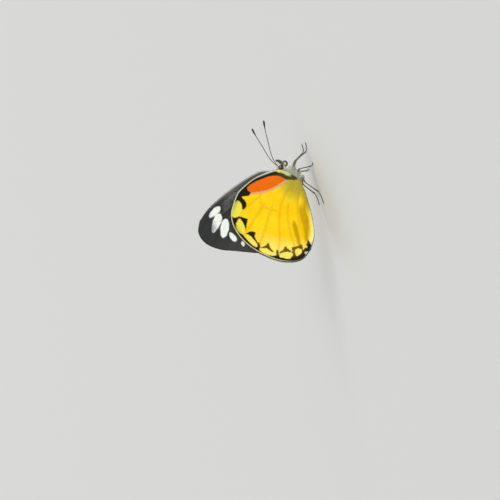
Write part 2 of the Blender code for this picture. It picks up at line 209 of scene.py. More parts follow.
def store_map(mesh, uv):
    """Keeps each vertex's place on the flat map that a bake would use."""
    corners = np.empty(len(mesh.loops), np.int32)
    mesh.loops.foreach_get("vertex_index", corners)
    layer = mesh.uv_layers.new(name="OFBake")
    layer.data.foreach_set("uv", np.asarray(uv, np.float32)[corners].ravel())


def node(tree, kind, inputs=None, **settings):
    made = tree.nodes.new(kind)
    for key, value in settings.items():
        setattr(made, key, value)
    for key, value in (inputs or {}).items():
        if isinstance(value, bpy.types.NodeSocket):
            tree.links.new(value, made.inputs[key])
        else:
            made.inputs[key].default_value = value
    return made


# %% [markdown]
# A material starts from its roughness and sheen, and is then painted by a few moves that all finishes
# share: read what is kept on the mesh, reckon with it, turn a distance into a soft mask, and mix two
# colours by that mask.

# %% Material helpers
class Finish:
    """A Principled material that is painted step by step."""

    def __init__(self, name, roughness, sheen=0.0, specular=0.3):
        self.material = bpy.data.materials.new(name)
        self.material.use_nodes = True
        self.tree = self.material.node_tree
        self.surface = self.tree.nodes["Principled BSDF"]
        self.surface.inputs["Roughness"].default_value = roughness
        self.surface.inputs["Sheen Weight"].default_value = sheen
        self.surface.inputs["Specular IOR Level"].default_value = specular

    def number(self, name):
        return node(self.tree, "ShaderNodeAttribute", attribute_name=name).outputs["Fac"]

    def vector(self, name):
        return node(self.tree, "ShaderNodeAttribute", attribute_name=name).outputs["Vector"]

    def math(self, operation, a, b=0.0, clamp=False):
        made = node(self.tree, "ShaderNodeMath", {0: a, 1: b}, operation=operation, use_clamp=clamp)
        return made.outputs[0]

    def times(self, first, *others):
        for other in others:
            first = self.math("MULTIPLY", first, other)
        return first

    def ramp(self, value, low, high):
        """0 where value has not passed low yet, 1 where it has passed high."""
        spread = {"Value": value, "From Min": low, "From Max": high}
        made = node(self.tree, "ShaderNodeMapRange", spread, interpolation_type="SMOOTHSTEP")
        return made.outputs["Result"]

    def mix(self, share, base, top, blend="MIX"):
        sockets = {"Factor": share, 6: rgba(base), 7: rgba(top)}
        return node(self.tree, "ShaderNodeMix", sockets, data_type="RGBA", blend_type=blend).outputs[2]

    def noise(self, scale, detail=3.0, where=None, out="Fac"):
        where = where or node(self.tree, "ShaderNodeTexCoord").outputs["Object"]
        sockets = {"Vector": where, "Scale": scale, "Detail": detail}
        return node(self.tree, "ShaderNodeTexNoise", sockets).outputs[out]

    def paint(self, colour, bump=None, strength=0.3, depth=0.00002):
        self.tree.links.new(colour, self.surface.inputs["Base Color"])
        if bump is not None:
            relief = {"Height": bump, "Strength": strength, "Distance": depth}
            made = node(self.tree, "ShaderNodeBump", relief)
            self.tree.links.new(made.outputs["Normal"], self.surface.inputs["Normal"])
        return self.material


def rgba(colour):
    """A colour given as red, green and blue from 0 to 255, as a linear socket value."""
    if isinstance(colour, bpy.types.NodeSocket):
        return colour
    shares = np.array(colour, float) / 255
    linear = np.where(shares <= 0.04045, shares / 12.92, ((shares + 0.055) / 1.055) ** 2.4)
    return (*map(float, linear), 1.0)


print("mid grey as a socket value:", [round(v, 3) for v in rgba((128, 128, 128))[:3]])

# %% [markdown]
# Each wing is a patch stretched between four edges: front, outer, inner and the short root at the
# body. Points along an edge are given as a reach from the hinge and a bearing, and a Catmull-Rom curve
# joins them. "Along" runs from root to margin, and "across" from the front edge to the inner one, as
# the veins fan.

# %% Wing outlines
FOREWING = {
    "hinge": (1.2, 0.2), "root": ((1.4, 0.9), (-1.0, 1.0)),
    "costa": (
        (3.6, 112), (9.8, 113), (13.2, 106.8), (19.0, 96.5), (25.7, 89), (32.6, 83.2), (37.8, 78.6),
    ),
    "termen": (
        (37.8, 78.6), (40.3, 73.5), (40.4, 66.9), (38.0, 59.2), (34.4, 50.5), (31.7, 39.9),
        (30.6, 34.5),
    ),
    "inner": ((8.0, 42), (19.0, 35.5), (30.6, 34.5)),
}
HINDWING = {
    "hinge": (-1.5, -1.9), "root": ((1.2, 0.2), (-2.2, -2.4)),
    "costa": ((5.8, 136.7), (8.3, 130.9), (10.9, 121.7), (16.3, 107.3), (21.8, 95.8), (24.0, 90.5)),
    "termen": (
        (24.0, 90.5), (28.1, 78.4), (30.0, 66.5), (30.6, 52), (30.7, 36), (30.6, 24), (29.4, 14.2),
        (26.2, 6.7),
    ),
    "inner": ((6.7, -9.9), (14.3, -4.3), (21.2, 0.4), (26.2, 6.7)),
}
FAR_WING_DROOP = 1.2  # degrees; the left hindwing hangs a little lower than the right one


def catmull_rom(points, steps=24, closed=False):
    """A dense smooth line through a few points."""
    points = np.asarray(points, float)
    if closed:
        padded = np.vstack((points[-1:], points, points[:2]))
    else:
        padded = np.vstack((2 * points[:1] - points[1:2], points, 2 * points[-1:] - points[-2:-1]))
    t = (np.arange(steps) / steps)[:, None]
    dense = []
    for a, b, c, d in zip(padded, padded[1:], padded[2:], padded[3:]):
        bend = (2 * a - 5 * b + 4 * c - d) * t**2 + (3 * b - a - 3 * c + d) * t**3
        dense.append(0.5 * (2 * b + (c - a) * t + bend))
    return np.vstack(dense) if closed else np.vstack((*dense, points[-1:]))


def polar(hinge, places):
    """Places given as reach and bearing from the hinge."""
    reach, bearing = np.asarray(places, float).reshape(-1, 2).T
    bearing = np.radians(bearing)
    return np.stack((hinge[0] - reach * np.cos(bearing), hinge[1] + reach * np.sin(bearing)), 1)


# %% [markdown]
# The patch itself blends the four edges: any share of the way along and across gives one point. This
# Coons patch needs no more than the edges, and the veins can be drawn in the same two shares.

# %% The patch of a wing
def place_on(line, shares):
    """The points at some shares of a dense line's length."""
    steps = np.concatenate(([0], np.cumsum(np.linalg.norm(np.diff(line, axis=0), axis=1))))
    where = np.asarray(shares) * steps[-1]
    return np.stack([np.interp(where, steps, line[:, k]) for k in range(line.shape[1])], -1)


class WingShape:
    """The four edges of a wing, and the patch between them."""

    def __init__(self, hinge, root, costa, termen, inner):
        self.hinge = np.array(hinge)
        self.root = np.array(root)
        self.costa = catmull_rom(np.vstack((self.root[:1], polar(hinge, costa))))
        self.termen = catmull_rom(polar(hinge, termen))
        self.inner = catmull_rom(np.vstack((self.root[1:], polar(hinge, inner))))

    def patch(self, along, across):
        front, back = place_on(self.costa, along), place_on(self.inner, along)
        far = place_on(self.termen, across)
        a, c = np.asarray(along)[..., None], np.asarray(across)[..., None]
        near = self.root[0] * (1 - c) + self.root[1] * c
        corners = self.root[0] * (1 - a) * (1 - c) + self.root[1] * (1 - a) * c
        corners = corners + self.costa[-1] * a * (1 - c) + self.inner[-1] * a * c
        return front * (1 - c) + back * c + near * (1 - a) + far * a - corners


forewing_shape = WingShape(**FOREWING)
hindwing_shape = WingShape(**HINDWING)
longest = np.linalg.norm(forewing_shape.termen - forewing_shape.hinge, axis=1).max()
print("forewing reach", round(float(longest), 1), "mm")

# %% [markdown]
# Seen from the front the wings aren't flat: they stand apart at the shoulder, draw together above it,
# and the hindwings swell round the abdomen and curl in below it.

# %% How far each wing stands from the midline
FOREWING_OUT, HINDWING_OUT = (1.9, 0.5), (3.0, 1.5)
SHOULDER = (2.0, 15.0)
CRADLE_RADIUS = 2.6
CRADLE_FADE = (-15.0, -25.0)
ABDOMEN_START, ABDOMEN_END = (-2.4, -1.75), (-17.6, -0.85)


def flat_out(x, z, near_far):
    """Distance from the midline of a wing that draws in from the shoulder outwards."""
    near, far = near_far
    drawn_in = smooth((np.hypot(x, z) - SHOULDER[0]) / (SHOULDER[1] - SHOULDER[0]))
    return far + (near - far) * (1 - drawn_in)


def forewing_out(x, z):
    return flat_out(x, z, FOREWING_OUT)


def hindwing_out(x, z):
    """As for the forewing, but curved round the abdomen and in below it."""
    flat = flat_out(x, z, HINDWING_OUT)
    (x0, z0), (x1, z1) = ABDOMEN_START, ABDOMEN_END
    above = z - (z0 + (z1 - z0) * (x - x0) / (x1 - x0))
    fade = 1 - smooth((x - CRADLE_FADE[0]) / (CRADLE_FADE[1] - CRADLE_FADE[0]))
    beside = np.sqrt(np.maximum(CRADLE_RADIUS**2 - above**2, 0))
    below = np.maximum(CRADLE_RADIUS - flat, 0) + beside - CRADLE_RADIUS
    return flat + np.where(above < 0, below, np.maximum(beside - flat, 0)) * fade


print("wings apart at the shoulder", 2 * HINDWING_OUT[0], "mm, at the tips", 2 * FOREWING_OUT[1], "mm")

# %% [markdown]
# Veins follow the patch: each keeps its share of the way across inside the cell, then fans to its own
# place at the margin. A short cross vein closes the cell.

# %% Veins
# Share of the way across in the cell, the same at the margin, and where along the wing it rises.
FOREWING_VEINS = (
    (0.07, 0.035, 0.10), (0.16, 0.10, 0.05), (0.25, 0.21, 0.55), (0.33, 0.34, 0.58),
    (0.42, 0.48, 0.58), (0.51, 0.63, 0.55), (0.60, 0.78, 0.05), (0.70, 0.90, 0.38),
    (0.86, 0.965, 0.05),
)
HINDWING_VEINS = (
    (0.06, 0.030, 0.10), (0.19, 0.075, 0.05), (0.26, 0.215, 0.52), (0.34, 0.365, 0.56),
    (0.42, 0.515, 0.52), (0.51, 0.683, 0.05), (0.61, 0.823, 0.38), (0.76, 0.926, 0.05),
    (0.88, 0.972, 0.05),
)
CROSS_VEINS = {"fore": (0.16, 0.60, 0.56), "hind": (0.19, 0.51, 0.53)}  # from, to, how far along
CROSS_VEIN_BOW = 0.05
CELL_END = 0.5
FAN_START = 0.6 * CELL_END


def vein_line(vein, count=60):
    """A vein as (along, across) pairs."""
    in_cell, at_margin, start = vein
    along = np.linspace(start, 1, count)
    fanned = smooth((along - FAN_START) / (1 - FAN_START))
    return along, in_cell + (at_margin - in_cell) * fanned


def vein_lines(shape, veins, cross):
    """All veins of a wing, the cross vein last, as dense lines in millimetres."""
    lines = [shape.patch(*vein_line(vein)) for vein in veins]
    first, last, along = cross
    across = np.linspace(first, last, 30)
    bow = along + CROSS_VEIN_BOW * np.sin(np.pi * (across - first) / (last - first)) ** 2
    return lines + [shape.patch(bow, across)]


print("veins:", len(FOREWING_VEINS), "in a forewing,", len(HINDWING_VEINS), "in a hindwing")

# %% [markdown]
# Relief and markings both start from one question: how far is each point of the wing from a dense
# line? The points are taken in batches, so that the arrays stay small.

# %% Distance to a line
BATCH = 4000


def distance_to_lines(points, lines):
    """How far each point is from the nearest of some dense lines."""
    nearest = np.full(len(points), np.inf)
    for line in lines:
        a, b = line[:-1], line[1:]
        run = b - a
        length = np.maximum((run**2).sum(1), 1e-12)
        for start in range(0, len(points), BATCH):
            p = points[start:start + BATCH, None]
            t = np.clip(((p - a) * run).sum(2) / length, 0, 1)
            gap = np.sqrt((((a + run * t[..., None]) - p) ** 2).sum(2)).min(1)
            nearest[start:start + BATCH] = np.minimum(nearest[start:start + BATCH], gap)
    return nearest


hinge_gap = distance_to_lines(hindwing_shape.hinge[None], [hindwing_shape.costa])[0]
print("hindwing's hinge to its front edge:", round(float(hinge_gap), 2), "mm")

# %% [markdown]
# The markings are drawn as signed distances: below zero inside a mark, above it outside, in
# millimetres. They are kept on the mesh, so one crisp edge can be cut anywhere by a material, and hair
# that grows from the wing carries the same marks.

# %% Distances to the markings
def signed_distance(points, loop):
    """Distance to a closed smooth outline, negative inside it."""
    line = catmull_rom(loop, 10, closed=True)
    line = np.vstack((line, line[:1]))
    gap = distance_to_lines(points, [line])
    (x0, z0), (x1, z1) = line[:-1].T, line[1:].T
    inside = np.zeros(len(points), bool)
    for ax, az, bx, bz in zip(x0, z0, x1, z1):
        if az == bz:
            continue
        crossed = ((az > points[:, 1]) != (bz > points[:, 1])) & (
            points[:, 0] < (bx - ax) * (points[:, 1] - az) / (bz - az) + ax
        )
        inside ^= crossed
    return np.where(inside, -gap, gap)


def lozenge(centre, length, width, tilt, taper=0.0):
    """The outline of a long spot. Taper above zero narrows the end that tilt points to."""
    turn = np.radians(tilt)
    across, along = np.array((-np.sin(turn), np.cos(turn))), np.array((np.cos(turn), np.sin(turn)))
    loop = []
    for angle in np.radians(np.arange(0, 360, 45)):
        reach = np.cos(angle) * length / 2
        side = np.sin(angle) * width / 2 * (1 - taper * np.cos(angle))
        loop.append(np.array(centre) + along * reach + across * side)
    return loop


def any_of(points, loops):
    """Distance to the nearest of several marks."""
    return np.min([signed_distance(points, loop) for loop in loops], axis=0)


test_spot = signed_distance(np.array(((0.0, 0.0), (3.0, 0.0))), lozenge((0, 0), 4, 2, 0))
print("in the middle of a 2 mm wide spot, and outside it:", test_spot.round(2))

# %% [markdown]
# The hindwing's underside, which faces out, carries the whole show: chrome yellow with a black border,
# a chain of pale spots in that border, and one red patch along the front edge with a dark line over
# it. The outlines are (x, z) points round each mark.

# %% Red patch and spots of the hindwing
RED_PATCH = (
    (-0.3, 3.0), (1.6, 4.9), (2.4, 7.6), (2.3, 11.3), (1.7, 15.0), (0.6, 17.2), (-1.1, 16.4),
    (-1.9, 13.3), (-2.1, 10.2), (-1.7, 7.2), (-1.0, 4.6),
)
DARK_OVER_RED = (
    (-1.6, -1.1), (-0.4, 2.6), (1.0, 5.6), (1.7, 9.0), (1.2, 13.5), (-1.2, 16.2), (-2.3, 17.4),
    (-2.0, 19.8), (-3.6, 19.2), (-5.2, 19.0), (-6.6, 20.4), (-6.0, 21.4), (-3.9, 21.4),
    (-2.6, 23.6), (0.2, 22.6), (2.6, 18.6), (4.1, 14.0), (4.9, 9.0), (4.4, 4.6), (2.4, 1.0),
    (0.2, -1.2),
)
SPOTS = (  # from the front edge round to the rear corner, then the one near the hinge
    ((-2.9, 21.8), (-4.8, 20.8), (-7.6, 21.9), (-8.6, 24.0), (-8.2, 25.2), (-6.3, 25.3),
     (-4.0, 23.9)),
    ((-9.5, 23.2), (-11.2, 22.3), (-13.9, 22.3), (-15.3, 23.0), (-14.4, 24.5), (-12.2, 25.1),
     (-10.2, 24.2)),
    ((-15.8, 22.4), (-16.4, 21.4), (-19.1, 19.9), (-21.0, 19.5), (-20.9, 20.5), (-19.1, 21.8),
     (-16.8, 22.7)),
    ((-22.1, 19.0), (-22.6, 17.0), (-23.9, 15.6), (-25.5, 13.8), (-26.1, 14.4), (-25.0, 17.0),
     (-23.3, 18.8)),
    ((-26.1, 12.1), (-26.1, 10.3), (-26.8, 8.3), (-27.5, 7.8), (-28.6, 9.2), (-28.4, 10.6),
     (-27.0, 12.0)),
    ((-26.2, 6.4), (-26.3, 5.0), (-27.3, 4.5), (-28.2, 5.2), (-27.9, 6.5), (-26.9, 6.8)),
    lozenge((-26.1, 2.3), 0.9, 0.7, 0), lozenge((3.2, 4.0), 1.8, 1.0, 75),
)
print("spots on a hindwing:", len(SPOTS))

# %% [markdown]
# Inside each spot sits a dark arrowhead, and dark wedges part neighbouring spots where the veins end.
# Two golden bands beside the abdomen are painted shade where the wing folds, with some greyish scales
# in them too, and two small ashy patches lie at the rear corner.

# %% Arrowheads, wedges and folds of the hindwing
ARROWHEADS = (
    ((-8.3, 25.9), (-8.8, 23.6), (-9.7, 23.1), (-10.8, 24.8), (-10.2, 26.2)),
    ((-8.5, 23.9), (-8.8, 22.5), (-9.9, 20.8), (-10.6, 20.2), (-12.2, 21.1), (-14.3, 21.9),
     (-12.0, 22.1), (-9.8, 22.8)),
    ((-15.4, 22.3), (-15.1, 20.6), (-15.9, 18.8), (-17.4, 19.4), (-20.4, 18.9), (-20.3, 19.5),
     (-17.8, 20.5), (-16.0, 21.6)),
    ((-21.9, 18.9), (-21.5, 16.6), (-20.7, 15.2), (-22.6, 15.1), (-25.0, 14.1), (-24.4, 15.5),
     (-22.8, 16.5), (-22.4, 17.8)),
    ((-25.3, 12.4), (-24.7, 10.8), (-23.7, 9.7), (-25.2, 8.7), (-26.9, 7.5), (-26.3, 9.1),
     (-25.9, 10.6), (-26.0, 12.4)),
    ((-25.0, 7.5), (-25.0, 5.4), (-24.8, 3.6), (-27.0, 3.8), (-26.2, 4.9), (-26.0, 6.2),
     (-27.4, 7.4)),
    ((-25.2, 1.3), (-26.4, 0.5), (-28.2, 0.8), (-28.0, 1.8), (-26.3, 2.4)),
)
BETWEEN_SPOTS = (
    ((-21.4, 20.7), (-20.5, 19.7), (-19.7, 18.7), (-21.2, 18.6), (-23.1, 19.2)),
    ((-27.0, 14.9), (-25.4, 13.9), (-24.1, 12.9), (-25.9, 12.7), (-27.9, 13.0)),
    ((-29.1, 9.2), (-26.6, 7.9), (-25.5, 6.8), (-27.2, 6.8), (-29.6, 7.0)),
    ((-29.9, 5.8), (-27.9, 4.5), (-26.4, 4.2), (-27.1, 3.4), (-29.3, 3.6)),
)
ASHY_PATCHES = (lozenge((-28.4, 2.8), 1.6, 1.2, 60), lozenge((-25.8, -0.3), 1.9, 0.8, 205))
# Outlines of the golden painted shade in the two folds beside the abdomen.
FOLD_SHADE_BANDS = (
    ((-9.0, -0.5), (-11.9, 0.9), (-15.8, 1.3), (-18.9, 1.4), (-21.6, 1.6), (-23.9, 1.9),
     (-24.1, 1.1), (-21.8, 0.3), (-19.2, -0.6), (-16.3, -1.1), (-12.6, -1.3), (-9.4, -2.5)),
    ((-15.6, 4.0), (-17.4, 4.9), (-20.4, 5.0), (-22.9, 5.0), (-24.6, 5.0), (-24.7, 4.1),
     (-22.6, 3.7), (-20.3, 3.5), (-17.8, 3.4)),
)
print("dark marks inside the border:", len(ARROWHEADS) + len(BETWEEN_SPOTS))

# %% [markdown]
# The border's width follows the margin: it fades out at both ends and near the hinge, and widens
# towards the rear corner. All marks are then gathered as one distance each.

# %% Hindwing markings
BORDER = 1.3  # black border's width at the outer margin
BORDER_FORE, BORDER_AFT = 100, 6  # bearings where the border ends at the front and inner edges
ARROWHEAD_SLIMMING = 0.06  # taken off the arrowheads at the rear


def bearing_of(points, hinge):
    """Degrees from straight back, through up, to straight ahead."""
    x, z = points.T
    return np.degrees(np.arctan2(z - hinge[1], hinge[0] - x))


def border_width(bearing, reach):
    ends = smooth((bearing - BORDER_AFT + 1.5) / 3) * smooth((BORDER_FORE + 10 - bearing) / 12)
    return BORDER * ends * smooth((reach - 8) / 6) * (1 + 0.5 * smooth((20 - bearing) / 6))


def hindwing_marks(points, edge):
    bearing = bearing_of(points, HINDWING["hinge"])
    reach = np.linalg.norm(points - HINDWING["hinge"], axis=1)
    border = edge - border_width(bearing, reach)
    arrowheads = any_of(points, ARROWHEADS) + ARROWHEAD_SLIMMING * smooth((60 - bearing) / 12)
    others = np.minimum(signed_distance(points, DARK_OVER_RED), any_of(points, BETWEEN_SPOTS))
    return {
        "black": np.minimum(np.minimum(border, arrowheads), others),
        "red": signed_distance(points, RED_PATCH),
        "spot": any_of(points, SPOTS),
        "fold": any_of(points, FOLD_SHADE_BANDS),
        "ash": any_of(points, ASHY_PATCHES),
        "bearing": bearing,
    }


print("border at the middle of the margin:", round(float(border_width(50.0, 30.0)), 2), "mm")

# %% [markdown]
# The forewing's underside is black. Five white spots run across it below the tip, and grey scales
# dust the cell in front of them. It has no red patch, so that distance is far outside everywhere.

# %% Forewing markings
WHITE_SPOTS = (
    lozenge((-4.6, 31.1), 5.6, 2.3, 118, 0.25), lozenge((-8.7, 31.6), 7.6, 2.9, 142, 0.35),
    lozenge((-11.3, 29.2), 7.1, 3.1, 155, 0.1), lozenge((-15.2, 27.2), 4.0, 1.9, 202, -0.2),
    lozenge((-18.6, 24.3), 2.0, 1.2, 182),
)
GREY_STREAK = (
    (3.2, 10.0), (2.4, 18.0), (1.0, 23.6), (-1.8, 26.4), (-4.6, 27.4), (-4.8, 26.2),
    (-1.8, 22.4), (1.0, 14.0),
)
FAR_OUTSIDE = 9.0


def forewing_marks(points, edge):
    return {
        "black": -np.ones(len(points)),
        "red": np.ones(len(points)) * FAR_OUTSIDE,
        "spot": any_of(points, WHITE_SPOTS),
        "dust": signed_distance(points, GREY_STREAK),
        "bearing": bearing_of(points, FOREWING["hinge"]),
    }


print("white spots on a forewing:", len(WHITE_SPOTS))

# %% [markdown]
# A wing is one closed shell round a middle sheet. The sheet is an array, so its place in space, the
# relief of veins and furrows, and the marks are all worked out at once for every vertex.

# %% The middle sheet of a wing
VEIN_HEIGHT, VEIN_SPREAD = 0.085, 0.22
FURROW = 0.03
WAVE_HEIGHT = 0.12  # how far the sheet bends between base and margin
STEPS_ALONG, STEPS_ACROSS = 120, 200
SCALE_LENGTH, SCALE_WIDTH = 0.16, 0.09
WEAVE_ALONG, WEAVE_ACROSS = 30 / SCALE_LENGTH, 40 / SCALE_WIDTH  # rows of scales on a wing


def wing_relief(vein, edge, reach):
    """Height of the veins above the membrane, with a shallow furrow between neighbours."""
    ridge = VEIN_HEIGHT * np.exp(-((vein / VEIN_SPREAD) ** 2))
    ridge = ridge * (0.35 + 0.65 * smooth(1.2 - reach / 40)) - FURROW * smooth((vein - 0.4) / 1.2)
    return ridge * smooth(edge / 0.8)


def wing_sheet(shape, veins, cross, out, marks, droop):
    """Places, distance from the midline, relief and marks for every vertex of a wing's grid."""
    shares = np.linspace(0, 1, STEPS_ALONG), np.linspace(0, 1, STEPS_ACROSS)
    along, across = (grid.ravel() for grid in np.meshgrid(*shares, indexing="ij"))
    points = shape.patch(along, across)
    outline = np.vstack((shape.costa, shape.termen[1:], shape.inner[::-1][1:]))
    edge = distance_to_lines(points, [outline])
    vein = distance_to_lines(points, vein_lines(shape, veins, cross))
    reach = np.linalg.norm(points - shape.hinge, axis=1)
    fields = marks(points, edge)
    fields |= {"edge": edge, "vein": vein, "reach": reach, "across": across}
    turn = np.radians(droop)
    spin = np.array(((np.cos(turn), -np.sin(turn)), (np.sin(turn), np.cos(turn))))
    placed = (points - shape.hinge) @ spin.T + shape.hinge
    y = out(*placed.T) + WAVE_HEIGHT * np.sin(along * 5 + across * 4) * smooth(reach / 25)
    weave = np.stack((across * WEAVE_ACROSS, along * WEAVE_ALONG, np.zeros(len(points))), 1)
    return placed, y, wing_relief(vein, edge, reach), fields, weave


print("vertices in a sheet:", STEPS_ALONG * STEPS_ACROSS)

# %% [markdown]
# Two copies of the sheet, moved apart by the membrane's thickness and the relief, become the outer and
# the inner face. A rim joins them. The hair's lie points away from the hinge and turns outwards at the
# front and inner edges.

# %% Faces of the shell and lie of its hair
WING_HALF_THICKNESS = 0.07
EDGE_ZONE = 0.12  # share of the way across in which the hair turns outwards
MAP_SPAN = 95.0  # millimetres of wing that one side of the bake map holds


def shell_faces(rows, columns):
    """Quads of the outer face, the inner face and the rim between them."""
    count = rows * columns
    grid = np.arange(count).reshape(rows, columns)
    corners = grid[:-1, :-1], grid[1:, :-1], grid[1:, 1:], grid[:-1, 1:]
    quads = np.stack(corners, -1).reshape(-1, 4)
    rim = np.concatenate((grid[:, 0], grid[-1, 1:], grid[::-1, -1][1:], grid[0, ::-1][1:-1]))
    beyond = np.roll(rim, -1)
    rim_quads = np.stack((rim, rim + count, beyond + count, beyond), 1)
    return np.vstack((quads[:, ::-1], quads + count, rim_quads[:, ::-1]))


def hair_lie(placed, hinge, across, reach):
    away = placed - hinge
    away = away / np.maximum(np.linalg.norm(away, axis=1), 0.1)[:, None]
    inner_edge, front_edge = (across - 1 + EDGE_ZONE) / EDGE_ZONE, (EDGE_ZONE - across) / EDGE_ZONE
    sideways = 0.8 * (smooth(inner_edge) - smooth(front_edge)) * smooth(reach / 6)
    away = away + sideways[:, None] * np.stack((-away[:, 1], away[:, 0]), 1)
    return np.stack((away[:, 0], np.zeros(len(away)), away[:, 1]), 1)


print("quads in a shell:", len(shell_faces(STEPS_ALONG, STEPS_ACROSS)))

# %% [markdown]
# All four wings come from the same steps. Left and right differ only in their side and a small droop.

# %% Wing shells
def wing_shell(name, side, shape, veins, cross, out, marks, droop=0.0):
    placed, y, relief, fields, weave = wing_sheet(shape, veins, cross, out, marks, droop)
    thick = WING_HALF_THICKNESS * (0.4 + 0.6 * smooth(fields["edge"] / 0.5))
    sheets = []
    for face in (1, -1):
        lift = y + face * (thick + np.where(face > 0, relief, 0.6 * relief))
        sheets.append(metres(np.stack((placed[:, 0], side * lift, placed[:, 1]), 1)))
    faces = shell_faces(STEPS_ALONG, STEPS_ACROSS)
    mesh = mesh_from(name, np.vstack(sheets), faces[:, ::-1] if side == LEFT else faces)
    for key, values in fields.items():
        store(mesh, key, np.tile(values, 2))
    store(mesh, "inner_face", np.repeat((0.0, 1.0), len(placed)))
    store(mesh, "weave", np.tile(weave, (2, 1)))
    lie = hair_lie(placed, shape.hinge, fields["across"], fields["reach"])
    store(mesh, "lie", np.tile(lie, (2, 1)))
    flat = (placed - placed.min(axis=0)) / MAP_SPAN
    flat = np.vstack((flat + 0.01, flat + (0.5, 0.51)))
    store_map(mesh, flat)
    store(mesh, "root_map", np.column_stack((flat, np.zeros(len(flat)))))
    return link_object(name, mesh)


HINDWING_MAKING = (hindwing_shape, HINDWING_VEINS, CROSS_VEINS["hind"], hindwing_out, hindwing_marks)
FOREWING_MAKING = (forewing_shape, FOREWING_VEINS, CROSS_VEINS["fore"], forewing_out, forewing_marks)
wings = {}
for side, side_name in ((RIGHT, "right"), (LEFT, "left")):
    droop = FAR_WING_DROOP if side == LEFT else 0.0
    hindwing = wing_shell("hindwing_skin_" + side_name, side, *HINDWING_MAKING, droop)
    forewing = wing_shell("forewing_skin_" + side_name, side, *FOREWING_MAKING)
    wings |= {"hindwing_" + side_name: hindwing, "forewing_" + side_name: forewing}
print("wings:", ", ".join(sorted(wings)))

# %% [markdown]
# Wing colour lies in rows of tiny scales. A Voronoi pattern in the wing's own along-and-across
# coordinates stands for the scales. Its random value nudges each distance before it is cut, so the
# border of every mark runs round whole scales, and it also varies the colour a little.

# %% Wing finish helpers
def scale_cells(finish):
    """Random value, and height of the overlap, of the scale at each place."""
    cells = node(
        finish.tree, "ShaderNodeTexVoronoi",
        {"Vector": finish.vector("weave"), "Scale": 1.0, "Randomness": 0.35}, feature="F1",
    )
    split = node(finish.tree, "ShaderNodeSeparateColor", {"Color": cells.outputs["Color"]})
    return split.outputs["Red"], cells.outputs["Distance"]


def cut(finish, distance, random, soft=0.12, ragged=0.35):
    """1 inside a mark and 0 outside, with an edge as ragged as the scales."""
    nudge = finish.times(finish.math("SUBTRACT", random, 0.5), ragged)
    wobble = finish.times(finish.math("SUBTRACT", finish.noise(1200), 0.5), 0.5)
    moved = finish.math("ADD", distance, finish.math("ADD", nudge, wobble))
    return finish.ramp(moved, soft, -soft)


print("rows of scales along and across a wing:", round(WEAVE_ALONG), round(WEAVE_ACROSS))

# %% [markdown]
# The ground of the hindwing's outer face comes first. It goes from olive at the hairy base through
# chrome yellow to pale yellow at the border. Golden brown painted shade lies in the folds near the
# inner edge, and a cream painted highlight runs along the lower part of its rim. Pink scales ring the
# red patch.

# %% Ground of the hindwing
YELLOW, DEEP_YELLOW, PALE_YELLOW = (255, 206, 8), (255, 218, 30), (255, 238, 112)
# The golden brown below is painted shade for the folds beside the abdomen.
VEIN_YELLOW, FOLD_SHADE_GOLD, OLIVE, PINK = (236, 172, 12), (190, 146, 6), (160, 160, 62), (226, 168, 110)
# The pale rim colour below is a painted highlight where the curled inner edge catches the light.
RIM_HIGHLIGHT_CREAM = (255, 250, 158)


def hindwing_ground(finish):
    reach, bearing, edge = (finish.number(key) for key in ("reach", "bearing", "edge"))
    ground = finish.mix(finish.ramp(finish.noise(160), 0.35, 0.75), YELLOW, DEEP_YELLOW)
    outer = finish.times(finish.ramp(reach, 21, 27), finish.ramp(bearing, 62, 30), 0.85)
    ground = finish.mix(outer, ground, PALE_YELLOW)
    beside_vein = finish.times(finish.ramp(finish.number("vein"), 0.9, 0.05), 0.45)
    ground = finish.mix(beside_vein, ground, VEIN_YELLOW)
    # Painted shade: golden brown in the folds beside the abdomen, with some greyish scales there too.
    fold = finish.times(finish.ramp(finish.number("fold"), 0.6, -0.5), finish.ramp(reach, 7, 12))
    fold = finish.times(fold, finish.math("ADD", finish.times(finish.noise(600), 0.5), 0.7))
    ground = finish.mix(finish.math("MULTIPLY", fold, 0.9, clamp=True), ground, FOLD_SHADE_GOLD)
    # Painted highlight: cream along the lower inner rim, where the curled edge catches the light.
    rim = finish.ramp(finish.math("SUBTRACT", edge, finish.times(reach, 0.07)), 0.5, -0.5)
    aft = finish.times(finish.ramp(bearing, 14, 6), finish.ramp(reach, 9, 15))
    ground = finish.mix(finish.times(rim, aft, 0.9), ground, RIM_HIGHLIGHT_CREAM)
    uneven_reach = finish.math("ADD", reach, finish.times(finish.noise(700), 3))
    beside_body = finish.times(finish.ramp(edge, 2.6, 0.6), finish.ramp(reach, 14, 9))
    beside_body = finish.times(beside_body, finish.ramp(bearing, 16, 6), 0.7)
    base = finish.times(finish.ramp(uneven_reach, 11.5, 4.5), 0.8)
    ground = finish.mix(finish.math("MAXIMUM", base, beside_body), ground, OLIVE)
    beside_red = finish.ramp(finish.number("red"), 1.5, 0.2)
    return finish.mix(finish.times(beside_red, finish.ramp(bearing, 118, 112)), ground, PINK)


print("chrome yellow as a socket value:", [round(v, 3) for v in rgba(YELLOW)[:3]])

# %% [markdown]
# Border, spots, red patch and ashy patches are cut over that ground, each by its own distance. The
# spots are green-yellow in front and cream behind, and the black turns brown well inside the margin.

# %% Marks of the hindwing
GREEN_YELLOW, SPOT_CREAM, DUSKY_SPOT = (236, 226, 72), (248, 230, 104), (168, 160, 62)
BLACK, BASE_BLACK, BROWN_MARK = (30, 28, 24), (74, 68, 36), (112, 90, 18)
RED, ASHY = (236, 108, 12), (206, 204, 176)


def hindwing_spot_colour(finish):
    edge, bearing = finish.number("edge"), finish.number("bearing")
    dusky = finish.times(finish.ramp(edge, 2.2, 0.8), finish.ramp(finish.noise(500), 0.35, 0.65), 0.6)
    spot = finish.mix(dusky, GREEN_YELLOW, DUSKY_SPOT)
    return finish.mix(finish.ramp(bearing, 60, 50), spot, SPOT_CREAM)


